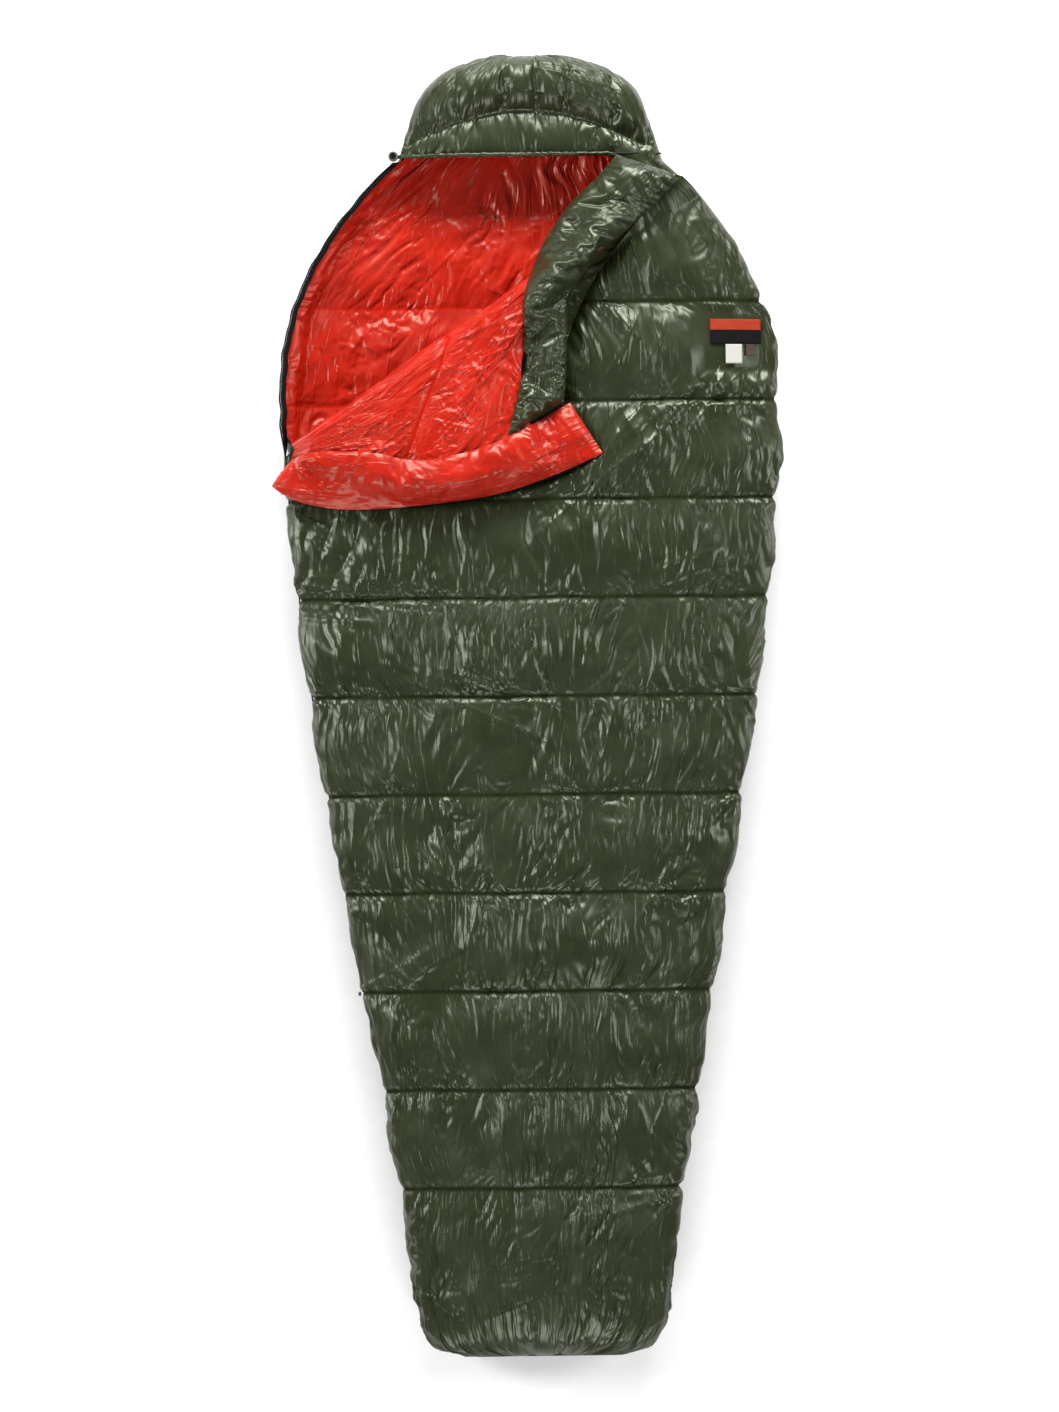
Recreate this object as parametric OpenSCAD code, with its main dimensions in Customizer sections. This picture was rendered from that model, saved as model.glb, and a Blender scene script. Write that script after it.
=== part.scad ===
// Mummy sleeping bag, unzipped at the shoulder with the top quilt's corner folded over its own shell.
// +Y runs to the head, +X to the sleeper's left, +Z up. The origin is on the floor at mid-length.

/* [Outline] */
// Foot end to the neck, where the hood starts
neck_height = 1931; // [1800:1:2050]
// Depth of the hood past the neck
hood_depth = 169; // [140:1:200]
// Half width at the foot end
foot_half = 190; // [170:1:210]
// Radius of the two foot corners, seen from above
foot_round = 60; // [40:1:80]
// Half width at the hip
hip_half = 371.5; // [340:0.5:395]
// Foot end to the hip
hip_height = 1125; // [1050:1:1200]
// Half width at the shoulders
shoulder_half = 402; // [380:1:430]
// Foot end to where the widest part starts
shoulder_height = 1445; // [1400:1:1490]
// Foot end to where the widest part ends
shoulder_top = 1550; // [1510:1:1600]
// Half width at the neck
neck_half = 216; // [195:1:235]
// Half width that the hood tapers to
hood_tip_half = 162; // [140:1:190]

/* [Loft] */
// Thickness of the bottom quilt
bottom_loft = 46; // [38:1:56]
// Height of the sleeping space between the quilts
cavity_height = 46; // [42:1:70]
// Thickness of the top quilt at a chamber's crown
top_loft = 46; // [38:1:60]
// Height of the side seam above the floor
side_seam = 84; // [76:1:90]
// Length over which the foot end rounds off
foot_cap = 110; // [80:1:150]
// Thickness of the hood's upper layer
hood_loft = 40; // [30:1:48]
// Highest point of the hood above the floor
hood_crown = 135; // [128:1:150]
// Length over which the hood's far end rounds off
hood_cap = 90; // [60:1:120]

/* [Stitching] */
// Foot end to the first stitch line below the neck
first_seam_height = 1700; // [1660:1:1740]
// Length of the toe chamber
toe_length = 275; // [230:1:320]
// Chambers between the toe chamber and the first stitch line
chamber_count = 9; // [8:1:9]
// How far a stitch line draws in the outer shell
stitch_dip = 12; // [6:0.5:16]
// How far a stitch line draws in the lining
lining_dip = 6; // [2:0.5:10]
// How far a stitch line draws in the underside
bottom_dip = 20; // [12:0.5:24]
// How far a stitch line draws in the side edges
side_nip = 5; // [0:0.5:10]
// Thickness of a baffle wall
baffle_wall = 0.6; // [0.4:0.1:1.2]

/* [Fabric] */
// Thickness of a shell or lining sheet
fabric = 0.8; // [0.5:0.1:1.2]
// Clearance between two plies
ply_gap = 0.3; // [0.2:0.05:0.5]

/* [Flap] */
// Foot end to the fold's low end, on the zip edge
fold_low = 1453; // [1448:1:1480]
// Foot end to the fold's high end, on the far edge
fold_high = 1902; // [1880:1:1915]
// Foot end to the flap's free corner at the top of the zip
corner_height = 1920; // [1890:1:1925]
// How far the neck edge dips at its middle
neck_dip = 95; // [60:1:100]
// Gap on each side of the fold
fold_gap = 1.2; // [0.8:0.1:3]
// Room between the two shells that lie on each other
fold_clear = 0.2; // [0.15:0.05:1]
// How far the flap's free edges drop below its crown
edge_drop = 3; // [0:0.5:12]
// Thickness left at the flap's free edges
edge_loft = 7; // [4:0.5:12]

/* [Collar and draft tube] */
// Width of the neck collar
collar_width = 72; // [50:1:85]
// Thickness of the neck collar
collar_loft = 27; // [18:1:30]
// Width of the draft tube along the zip
tube_width = 66; // [50:1:80]
// Thickness of the draft tube
tube_loft = 20; // [12:1:24]
// How far the draft tube stands past the zip edge
tube_lip = 14; // [8:1:20]

/* [Hood] */
// Neck to the hood's front hem
hem_setback = 16; // [10:1:24]
// Outer radius of the folded hem
hem_radius = 6; // [5:0.5:8]
// Diameter of the drawcord inside the hem
drawcord_d = 3.2; // [2.5:0.1:4]

/* [Zip] */
// Foot end to the closed lower end of the zip
zip_end_height = 592; // [450:1:700]
// Distance of the chain outside the quilts' edge
chain_offset = 4.5; // [4.4:0.1:6]
// Radius of one zip coil
coil_radius = 1.5; // [1.2:0.1:1.7]
// Half distance between the two coils in the chain
coil_half_pitch = 2.4; // [2.3:0.05:3]
// Thickness of the zip tape
tape = 0.8; // [0.5:0.1:1]
// Distance from the fold's low end down to the slider at rest
slider_drop = 26; // [20:1:40]
// Length of the slider
slider_length = 14; // [11:0.5:18]
// Wall of the slider's plates
slider_wall = 1.2; // [0.9:0.1:1.6]
// Running clearance between the slider and the chain
slider_gap = 0.4; // [0.3:0.05:0.6]
// Radius of the pin that carries the pull
pull_pin_r = 0.8; // [0.6:0.1:1.1]
// Clearance round the pull's pin
pin_clear = 0.1; // [0.05:0.01:0.2]
// Length of the pull from its pin
pull_length = 30; // [22:1:40]
// Half width of the pull's wide end
pull_half = 4; // [3:0.5:6]

/* [Cord lock] */
// Radius of the cord lock
lock_radius = 8; // [7.5:0.1:10]
// Height of the cord lock's body
lock_height = 15; // [14:0.5:18]
// Radius of the button
button_radius = 5; // [4.5:0.1:5.5]
// How far the button stands above the body
button_rise = 5; // [4.5:0.1:7]
// Travel of the button
button_travel = 3; // [2:0.1:3.6]

/* [Label] */
// Width of the sewn patch
label_width = 82; // [60:1:90]
// Height of the sewn patch
label_height = 40; // [34:1:46]
// Distance from the side edge to the patch's middle
label_inset = 62; // [58:1:75]
// Thickness of the patch and the tags
label_wall = 1; // [0.6:0.1:1.4]
// Width of the large tag
large_tag_width = 27; // [18:1:30]
// Length of the large tag
large_tag_length = 31; // [20:1:34]
// Width of the small tag
small_tag_width = 14; // [8:1:16]
// Length of the small tag
small_tag_length = 18; // [10:1:22]

/* [Hidden] */
top_chambers = chamber_count + 2;
bottom_chambers = chamber_count + 3;
$fn = 48;

olive = [0.25, 0.27, 0.19];
red = [0.75, 0.18, 0.14];
black = [0.08, 0.07, 0.07];
down = [0.92, 0.91, 0.87];
steel = [0.6, 0.6, 0.62];

bag_length = neck_height + hood_depth;
foot_y = -bag_length / 2;
neck_y = foot_y + neck_height;
head_y = foot_y + bag_length;
first_seam = foot_y + first_seam_height;
toe_seam = foot_y + toe_length;
pitch = (first_seam - toe_seam) / chamber_count;
stack = 2 * fabric + ply_gap;
ceiling = bottom_loft + cavity_height;
top_crown = ceiling + top_loft;
fold_z = top_crown + fold_clear;

// Grid columns across a quilt, dense near its edges, and the rows of one chamber
columns = [for (u = [-1, -0.97, -0.82, -0.45, 0, 0.45, 0.82, 0.97, 1]) (u + 1) / 2];
bottom_columns = [for (u = [-1, -0.97, -0.82, 0, 0.82, 0.97, 1]) (u + 1) / 2];
inner_columns = inner(columns);
inner_bottom = inner(bottom_columns);
chamber_rows = [0, 0.25, 0.5, 0.75, 1];
// How a chamber swells between two stitch lines
swell = [[0, 0], [0.25, 0.8], [0.5, 1], [0.75, 0.8], [1, 0]];
half_swell = [[0, 0], [0.25, 0.8], [0.5, 1]];
// How a quilt's height falls away towards its side edge
top_edge = [[0, 1], [0.45, 1], [0.82, 0.74], [0.97, 0.33], [1, 0]];
bottom_edge = [[0, 1], [0.82, 0.93], [0.97, 0.4], [1, 0]];

function clamp(t) = max(0, min(1, t));
function mix(a, b, t) = a + (b - a) * t;
function ramp(t) = sqrt(1 - pow(1 - clamp(t), 2));
function smooth(t) = let (c = clamp(t)) c * c * (3 - 2 * c);
function flat(lists) = [for (l = lists) each l];
function inner(list) = [for (i = [1 : len(list) - 2]) list[i]];
function tail(list) = [for (i = [1 : len(list) - 1]) list[i]];
function backwards(list) = [for (i = [len(list) - 1 : -1 : 0]) list[i]];
function shorter(list) = [for (i = [0 : len(list) - 2]) list[i]];

// Outline of the bag, seen from above
shoulder_curve = 2.2;
hood_curve = 6;
hood_bluntness = 0.93;
function foot_trim(h) = h < foot_round ? foot_round - sqrt(pow(foot_round, 2) - pow(foot_round - h, 2)) : 0;
function hood_half(t) = mix(neck_half, hood_tip_half, t) * sqrt(1 - hood_bluntness * pow(t, hood_curve));
function half_width(y) =
    let (h = y - foot_y)
    h < hip_height ? mix(foot_half, hip_half, h / hip_height) - foot_trim(max(h, 0))
    : h < shoulder_height ? mix(hip_half, shoulder_half, (h - hip_height) / (shoulder_height - hip_height))
    : h < shoulder_top ? shoulder_half
    : h < neck_height ?
        mix(shoulder_half, neck_half, pow((h - shoulder_top) / (neck_height - shoulder_top), shoulder_curve))
    : hood_half(clamp((h - neck_height) / hood_depth));

// Swelling at y on a quilt whose last stitch line towards the head is top_seam
function crown(y, top_seam) =
    y < toe_seam ? lookup((toe_seam - y) / pitch, half_swell)
    : y > top_seam ? lookup((y - top_seam) / pitch, half_swell)
    : let (v = (y - toe_seam) / pitch) lookup(v - floor(v), swell);
function top_half(y) = half_width(y) - side_nip * (1 - crown(y, first_seam));
function bottom_half(y) = half_width(y) - side_nip * (1 - crown(y, first_seam + pitch));
function foot_rise(y) = ramp((y - foot_y) / foot_cap);
function head_rise(y) = ramp((head_y - y) / hood_cap);

// The fold: a line from the zip edge up to the far edge, along which the flap is turned over
fold_a = [-half_width(foot_y + fold_low), foot_y + fold_low];
fold_c = [half_width(foot_y + fold_high), foot_y + fold_high];
fold_angle = atan2(fold_c.y - fold_a.y, fold_c.x - fold_a.x);
fold_dir = [cos(fold_angle), sin(fold_angle)];
fold_normal = [sin(fold_angle), -cos(fold_angle)];
function fold_x(y) = fold_a.x + (y - fold_a.y) / tan(fold_angle);
fold_shift = fold_gap / sin(fold_angle);
fold_run = 70;
fold_squeeze = 0.4;
function fold_fullness(x, y) = 1 - fold_squeeze * (1 - ramp(([x, y] - fold_a) * fold_normal / fold_run));

// Top quilt: left and right edges, outer surface and thickness
function top_left(y) = max(-top_half(y), fold_x(y) + fold_shift);
function top_x(s, y) = mix(top_left(y), top_half(y), s);
function top_fall(x, y) = lookup(abs(x) / top_half(y), top_edge) * foot_rise(y);
function top_z(x, y) =
    side_seam + ply_gap / 2 + stack
    + top_fall(x, y) * (top_crown - side_seam - stack - stitch_dip * (1 - crown(y, first_seam)));
function top_thickness(x, y) =
    top_fall(x, y) * fold_fullness(x, y)
    * (top_loft - stack - (stitch_dip + lining_dip) * (1 - crown(y, first_seam)));
// Height at depth below the outer surface, or above the lining's inner face
function top_down(depth) = function (s, y) let (x = top_x(s, y)) [x, y, top_z(x, y) - depth];
function top_up(height) =
    function (s, y) let (x = top_x(s, y)) [x, y, top_z(x, y) - stack - top_thickness(x, y) + height];

// Bottom quilt: lining surface and underside, which is flat on the floor between the stitch lines
bottom_press = 10;
function bottom_x(s, y) = (2 * s - 1) * bottom_half(y);
function bottom_fall(x, y) = lookup(abs(x) / bottom_half(y), bottom_edge) * min(foot_rise(y), head_rise(y));
function bottom_pull(x, y) = bottom_fall(x, y) * (1 - crown(y, first_seam + pitch));
function bottom_z(x, y) =
    side_seam - ply_gap / 2 - bottom_fall(x, y) * (side_seam - bottom_loft) - lining_dip * bottom_pull(x, y);
function under_z(x, y) =
    max(0, bottom_z(x, y) - stack - bottom_fall(x, y) * (bottom_loft - stack + bottom_press)
        + (bottom_dip + lining_dip) * bottom_pull(x, y));
function bottom_down(depth) = function (s, y) let (x = bottom_x(s, y)) [x, y, bottom_z(x, y) - depth];
function bottom_up(height) = function (s, y) let (x = bottom_x(s, y)) [x, y, under_z(x, y) + height];

// Rows of each quilt, from the foot to the head
toe_rows = [0, 0.05, 0.13, 0.25, 0.4, 0.6, 0.75, 0.88, 1];
shoulder_margin = 8;
shoulder_end = fold_c.y - shoulder_margin;
function chamber(i) = [for (t = chamber_rows) toe_seam + pitch * (i + t)];
function body_rows(count) = flat([for (i = [0 : count - 1]) tail(chamber(i))]);
toe_ys = [for (t = toe_rows) foot_y + toe_length * t];
shoulder_ys = [for (t = chamber_rows) mix(first_seam, shoulder_end, t)];
hood_rows = [0, 0.25, 0.45, 0.65, 0.8, 0.92, 0.98, 1];
hood_ys = [for (t = hood_rows) mix(first_seam + pitch, head_y, t)];
top_ys = concat(toe_ys, body_rows(chamber_count), tail(shoulder_ys));
bottom_ys = concat(toe_ys, body_rows(chamber_count + 1), tail(hood_ys));

// Fill rows stop short of the stitch lines and of the closed ends
fill_inset = baffle_wall / 2 + ply_gap;
function inset_rows(ys, low, high) =
    [for (i = [0 : len(ys) - 1]) i == 0 ? ys[i] + low : i == len(ys) - 1 ? ys[i] - high : ys[i]];
toe_fill_ys = inset_rows(tail(toe_ys), 0, fill_inset);
function top_fill_ys(i) =
    i == 1 ? toe_fill_ys
    : i <= chamber_count + 1 ? inset_rows(chamber(i - 2), fill_inset, fill_inset)
    : inset_rows(shoulder_ys, fill_inset, 0);
function bottom_fill_ys(i) =
    i == 1 ? toe_fill_ys
    : i <= chamber_count + 2 ? inset_rows(chamber(i - 2), fill_inset, fill_inset)
    : inset_rows(shorter(hood_ys), fill_inset, 0);

function grid(ys, ss, at) = [for (y = ys) [for (s = ss) at(s, y)]];

// Closed solid between an upper and a lower grid of points
module ply(upper, lower) {
    rows = len(upper);
    cols = len(upper[0]);
    size = rows * cols;
    cells = [for (r = [0 : rows - 2], c = [0 : cols - 2]) r * cols + c];
    rim = concat(
        [for (c = [0 : cols - 2]) c],
        [for (r = [0 : rows - 2]) r * cols + cols - 1],
        [for (c = [cols - 1 : -1 : 1]) (rows - 1) * cols + c],
        [for (r = [rows - 1 : -1 : 1]) r * cols]
    );
    edge = [for (i = [0 : len(rim) - 1]) [rim[i], rim[(i + 1) % len(rim)]]];
    polyhedron(
        concat(flat(upper), flat(lower)),
        concat(
            flat([for (p = cells) [[p, p + cols, p + 1], [p + 1, p + cols, p + cols + 1]]]),
            flat([for (p = cells)
                let (q = p + size) [[q, q + 1, q + cols], [q + 1, q + cols + 1, q + cols]]]),
            flat([for (e = edge) [[e[0], e[1], e[1] + size], [e[0], e[1] + size, e[0] + size]]])
        )
    );
}

// Solid skinned over rings of points, closed at both ends; a band ring runs out along one side and back
module skin(rings, band = false) {
    n = len(rings[0]);
    last = (len(rings) - 1) * n;
    half = n / 2;
    fan = [for (i = [1 : n - 2]) [0, i, i + 1]];
    strip = flat([for (i = [0 : half - 2])
        [[i, i + 1, n - 1 - i], [i + 1, n - 2 - i, n - 1 - i]]]);
    end = band ? strip : fan;
    polyhedron(
        flat(rings),
        concat(
            flat([for (r = [0 : len(rings) - 2], i = [0 : n - 1])
                let (a = r * n + i, b = r * n + (i + 1) % n) [[a, b, b + n], [a, b + n, a + n]]]),
            [for (f = end) [f[2], f[1], f[0]]],
            [for (f = end) [f[0] + last, f[1] + last, f[2] + last]]
        )
    );
}

// Baffle wall across a quilt at y, between two surfaces
module wall(y, ss, upper, lower) {
    top = [for (s = ss) let (p = upper(s, y)) [p.x, p.z]];
    low = [for (s = backwards(ss)) let (p = lower(s, y)) [p.x, p.z]];
    translate([0, y, 0])
        rotate([90, 0, 0])
            linear_extrude(baffle_wall, center = true)
                polygon(concat(top, low));
}

// Bottom quilt
module bottom_shell() {
    color(olive)
        ply(
            grid(bottom_ys, bottom_columns, bottom_up(fabric)),
            grid(bottom_ys, bottom_columns, bottom_up(0))
        );
}

module bottom_lining() {
    color(red)
        ply(
            grid(bottom_ys, bottom_columns, bottom_down(0)),
            grid(bottom_ys, bottom_columns, bottom_down(fabric))
        );
}

module bottom_fill(i) {
    ys = bottom_fill_ys(i);
    color(down)
        ply(
            grid(ys, inner_bottom, bottom_down(fabric + ply_gap)),
            grid(ys, inner_bottom, bottom_up(fabric + ply_gap))
        );
}

module bottom_baffles() {
    color(red)
        for (i = [0 : chamber_count + 1])
            wall(
                toe_seam + pitch * i, inner_bottom,
                bottom_down(fabric + ply_gap), bottom_up(fabric + ply_gap)
            );
}

// Top quilt
module top_shell() {
    color(olive)
        ply(grid(top_ys, columns, top_down(0)), grid(top_ys, columns, top_down(fabric)));
}

module top_lining() {
    color(red)
        ply(grid(top_ys, columns, top_up(fabric)), grid(top_ys, columns, top_up(0)));
}

module top_fill(i) {
    ys = top_fill_ys(i);
    color(down)
        ply(
            grid(ys, inner_columns, top_down(fabric + ply_gap)),
            grid(ys, inner_columns, top_up(fabric + ply_gap))
        );
}

module top_baffles() {
    color(red)
        for (i = [0 : chamber_count])
            wall(toe_seam + pitch * i, inner_columns, top_down(fabric + ply_gap), top_up(fabric + ply_gap));
}

// Hood: a puffy roll behind a flatter band, over the bottom quilt's head end
hem_y = neck_y + hem_setback;
hood_seam_share = 0.36;
hood_seam = mix(hem_y, head_y, hood_seam_share);
band_rows = [0, 0.4, 0.75, 1];
roll_rows = [0, 0.16, 0.4, 0.66, 0.86, 0.96, 1];
band_ys = [for (t = band_rows) mix(hem_y, hood_seam, t)];
roll_ys = [for (t = roll_rows) mix(hood_seam, head_y, t)];
hood_swell = [[0, 0.55], [0.14, 0.8], [0.27, 0.7], [hood_seam_share, 0], [0.46, 0.8], [0.62, 1], [1, 1]];
function hood_crown_at(y) = lookup((y - hem_y) / (head_y - hem_y), hood_swell);
function hood_x(s, y) = (2 * s - 1) * half_width(y);
function hood_fall(x, y) = lookup(abs(x) / half_width(y), top_edge) * head_rise(y);
function hood_z(x, y) =
    side_seam + ply_gap / 2 + stack
    + hood_fall(x, y) * (hood_crown - side_seam - stack - stitch_dip * (1 - hood_crown_at(y)));
function hood_thickness(x, y) =
    hood_fall(x, y) * (hood_loft - stack - (stitch_dip + lining_dip) * (1 - hood_crown_at(y)));
function hood_down(depth) = function (s, y) let (x = hood_x(s, y)) [x, y, hood_z(x, y) - depth];
function hood_up(height) =
    function (s, y) let (x = hood_x(s, y)) [x, y, hood_z(x, y) - stack - hood_thickness(x, y) + height];
all_hood_ys = concat(band_ys, tail(roll_ys));

module hood_shell() {
    color(olive)
        ply(grid(all_hood_ys, columns, hood_down(0)), grid(all_hood_ys, columns, hood_down(fabric)));
}

module hood_lining() {
    color(red)
        ply(grid(all_hood_ys, columns, hood_up(fabric)), grid(all_hood_ys, columns, hood_up(0)));
}

module hood_fill(ys) {
    color(down)
        ply(
            grid(ys, inner_columns, hood_down(fabric + ply_gap)),
            grid(ys, inner_columns, hood_up(fabric + ply_gap))
        );
}

// Folded hem along the hood's front edge, with the drawcord inside
hem_right = [0.2, 0.45, 0.65, 0.82, 0.9, 0.97];
hem_shares = concat([for (u = backwards(hem_right)) -u], [0], hem_right);
hem_columns = [for (u = hem_shares) (u + 1) / 2];
hem_centre_y = hem_y - hem_radius - ply_gap;
hem_overhang = 1.5;
function hem_point(s) =
    let (x = hood_x(s, hem_y))
    [x, hem_centre_y, hood_z(x, hem_y) - (stack + hood_thickness(x, hem_y)) / 2];
// The hem's ends run level to just past the hood's side edges
function hem_end(side) =
    let (p = hem_point(hem_columns[0])) [side * (half_width(hem_y) + hem_overhang), p.y, p.z];
hem_path = concat([hem_end(-1)], [for (s = hem_columns) hem_point(s)], [hem_end(1)]);
hem_mouth = 25;
hem_sides = 8;
hem_angles = [for (i = [0 : hem_sides]) mix(hem_mouth, 360 - hem_mouth, i / hem_sides)];
function hem_ring(c) =
    concat(
        [for (a = hem_angles) c + hem_radius * [0, cos(a), sin(a)]],
        [for (a = backwards(hem_angles)) c + (hem_radius - fabric) * [0, cos(a), sin(a)]]
    );

module hood_hem() {
    color(olive)
        skin([for (c = hem_path) hem_ring(c)], band = true);
}

cord_sides = 8;
cord_clear = 0.3;
cord_bore_r = drawcord_d / 2 + cord_clear;
lock_floor = 1.2;
spring_solid = 1.2;
slot_wall = 1;
button_bottom = lock_floor + spring_solid + button_travel;
lock_bore_z = button_bottom + slot_wall + cord_bore_r;
lock_centre = hem_end(-1) - [lock_radius + ply_gap, 0, lock_bore_z];
cord_end = lock_centre + [-lock_radius, 0, lock_bore_z];
function cord_ring(c) = [for (i = [0 : cord_sides - 1])
    let (a = 360 * i / cord_sides) c + drawcord_d / 2 * [0, cos(a), sin(a)]];

module hood_drawcord() {
    color(black)
        skin([for (c = concat([cord_end], hem_path)) cord_ring(c)]);
}

// Cord lock at the zip end of the hem: a drilled barrel with a sprung button
button_clear = 0.1;
lock_round = 2;
spring_turns = 3;
spring_steps = 10;
spring_wire = 0.35;
spring_radius = 3.4;
spring_gap = 0.1;

module cord_lock_body() {
    color(olive)
        translate(lock_centre)
            difference() {
                rotate_extrude()
                    union() {
                        square([lock_radius - lock_round, lock_height]);
                        translate([0, lock_round])
                            square([lock_radius, lock_height - 2 * lock_round]);
                        translate([lock_radius - lock_round, lock_round])
                            circle(lock_round);
                        translate([lock_radius - lock_round, lock_height - lock_round])
                            circle(lock_round);
                    }
                translate([0, 0, lock_floor])
                    cylinder(h = lock_height, r = button_radius + button_clear);
                translate([0, 0, lock_bore_z])
                    rotate([0, 90, 0])
                        cylinder(h = 3 * lock_radius, r = cord_bore_r, center = true);
            }
}

module cord_lock_button() {
    color(black)
        translate(lock_centre)
            difference() {
                translate([0, 0, button_bottom])
                    cylinder(h = lock_height + button_rise - button_bottom, r = button_radius);
                // Slot for the cord, long enough for the button's travel
                translate([-2 * lock_radius, -cord_bore_r, lock_bore_z - cord_bore_r])
                    cube([4 * lock_radius, 2 * cord_bore_r, 2 * cord_bore_r + button_travel]);
            }
}

function spring_point(k) =
    let (a = 360 * k / spring_steps, end = spring_turns * spring_steps)
    [spring_radius * cos(a), spring_radius * sin(a),
     mix(lock_floor + spring_wire + spring_gap, button_bottom - spring_wire - spring_gap, k / end)];
function spring_ring(k) =
    let (a = 360 * k / spring_steps, c = spring_point(k))
    [for (i = [0 : 5]) c + spring_wire * [cos(a) * cos(60 * i), sin(a) * cos(60 * i), sin(60 * i)]];

module cord_lock_spring() {
    color(steel)
        translate(lock_centre)
            skin([for (k = [spring_turns * spring_steps : -1 : 0]) spring_ring(k)]);
}

// Flap: the corner of the top quilt above the fold, described closed and then turned over the fold
corner_y = foot_y + corner_height;
flap_margin = 14;
flap_start = fold_a.y + flap_margin;
flap_seam = toe_seam + pitch * (chamber_count - 1);
// Rows run from 0 at the fold's low end to 1 and 2 at the stitch lines and to 3 at the neck edge;
// from collar_row on they run along the neck edge, under the collar
neck_row = 3;
collar_row = 2.4;
collar_rows = [for (t = [0, 0.25, 0.5, 0.75, 1]) mix(collar_row, neck_row, t)];
flap_fill_inset = 2 * fill_inset / collar_width;
neck_fill_row = 2 + flap_fill_inset;
flap_ts = concat([0, 0.33, 0.66, 1], [for (t = tail(chamber_rows)) 1 + t], [neck_fill_row, 2.2], collar_rows);
function neck_rows(edge, t) =
    t < collar_row ? mix(first_seam, edge - collar_width, (t - 2) / (collar_row - 2))
    : edge - collar_width * (neck_row - t) / (neck_row - collar_row);
function flap_row_y(t) =
    t < 1 ? mix(flap_start, flap_seam, t)
    : t < 2 ? mix(flap_seam, first_seam, t - 1)
    : neck_rows(corner_y, t);
function flap_zip_point(t) = let (y = flap_row_y(t)) [-half_width(y), y];
function flap_fold_point(t) =
    let (y = t < 2 ? flap_row_y(t) : neck_rows(fold_c.y, t)) [fold_x(y) - fold_shift, y];
function flap_width(t) = norm(flap_fold_point(t) - flap_zip_point(t));
dip_curve = 1.5;
dip_skew = 0.8;
function flap_dip(s, t) =
    neck_dip * clamp((t - 2) / (collar_row - 2)) * pow(sin(180 * pow(clamp(s), dip_skew)), dip_curve);
function flap_plan(s, t) = mix(flap_zip_point(t), flap_fold_point(t), s) - [0, flap_dip(s, t)];
// Columns at set distances from the zip edge, where the draft tube lies, and then on to the fold
tube_mid = 0.42;
tube_room = 2.4;
function tube_share(t) = min(1, flap_width(t) / (tube_room * tube_width)) * tube_width / flap_width(t);
flap_spread = [0, 0.06, 0.25, 0.44, 0.62, 0.79, 0.93, 1];
flap_columns = [for (k = [0 : len(flap_spread) + 1]) k];
flap_inner = inner(flap_columns);
function flap_s(k, t) =
    k == 0 ? 0
    : k == 1 ? tube_mid * tube_share(t)
    : mix(tube_share(t), 1, flap_spread[k - 2]);
flap_edge_run = 75;
seam_squeeze = 0.3;
function flap_crown(t) =
    t < 1 ? lookup(t / 2 + 0.5, swell)
    : t < 2 ? lookup(t - 1, swell)
    : lookup(t - 2, half_swell);
function flap_zip_ramp(s, t) = ramp(s * flap_width(t) / flap_edge_run);
function flap_neck_ramp(t) = ramp((neck_row - t) / (neck_row - collar_row));
function flap_edge(s, t) = flap_zip_ramp(s, t) * flap_neck_ramp(t);
function flap_fullness(s, t) =
    1 - fold_squeeze * (1 - ramp((1 - s) * flap_width(t) * sin(fold_angle) / fold_run));
function flap_z(s, t) =
    top_crown - edge_drop * (1 - flap_edge(s, t)) - stitch_dip / 2 * (1 - flap_crown(t)) * flap_edge(s, t);
function flap_loft(s, t) =
    edge_loft + (top_loft - stack - edge_loft)
    * flap_edge(s, t) * flap_fullness(s, t) * (1 - seam_squeeze * (1 - flap_crown(t)));
function flap_point(k, t, z) = let (s = flap_s(k, t), p = flap_plan(s, t)) [p.x, p.y, z(s, t)];
function flap_down(depth) = function (k, t) flap_point(k, t, function (s, q) flap_z(s, q) - depth);
function flap_up(height) =
    function (k, t) flap_point(k, t, function (s, q) flap_z(s, q) - stack - flap_loft(s, q) + height);

module turned_over() {
    translate([fold_a.x, fold_a.y, fold_z])
        rotate([0, 0, fold_angle])
            rotate([180, 0, 0])
                rotate([0, 0, -fold_angle])
                    translate([-fold_a.x, -fold_a.y, -fold_z])
                        children();
}

module flap_shell() {
    color(olive)
        turned_over()
            ply(grid(flap_ts, flap_columns, flap_down(0)), grid(flap_ts, flap_columns, flap_down(fabric)));
}

module flap_lining() {
    color(red)
        turned_over()
            ply(grid(flap_ts, flap_columns, flap_up(fabric)), grid(flap_ts, flap_columns, flap_up(0)));
}

function flap_fill_ts(i) =
    i == 3 ? [for (t = flap_ts) if (t >= neck_fill_row) t]
    : inset_rows([for (t = flap_ts) if (t >= i - 1 && t <= i) t], (i - 1) * flap_fill_inset, flap_fill_inset);

module flap_fill(i) {
    ts = flap_fill_ts(i);
    color(down)
        turned_over()
            ply(
                grid(ts, flap_inner, flap_down(fabric + ply_gap)),
                grid(ts, flap_inner, flap_up(fabric + ply_gap))
            );
}

module flap_baffles() {
    color(red)
        turned_over()
            for (t = [1, 2])
                wall_at(t);
}

// Baffle wall of the flap at row t, which lies straight across it
module wall_at(t) {
    top = [for (k = flap_inner) let (p = flap_down(fabric + ply_gap)(k, t)) [p.x, p.z]];
    low = [for (k = backwards(flap_inner)) let (p = flap_up(fabric + ply_gap)(k, t)) [p.x, p.z]];
    translate([0, flap_row_y(t), 0])
        rotate([90, 0, 0])
            linear_extrude(baffle_wall, center = true)
                polygon(concat(top, low));
}

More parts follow.
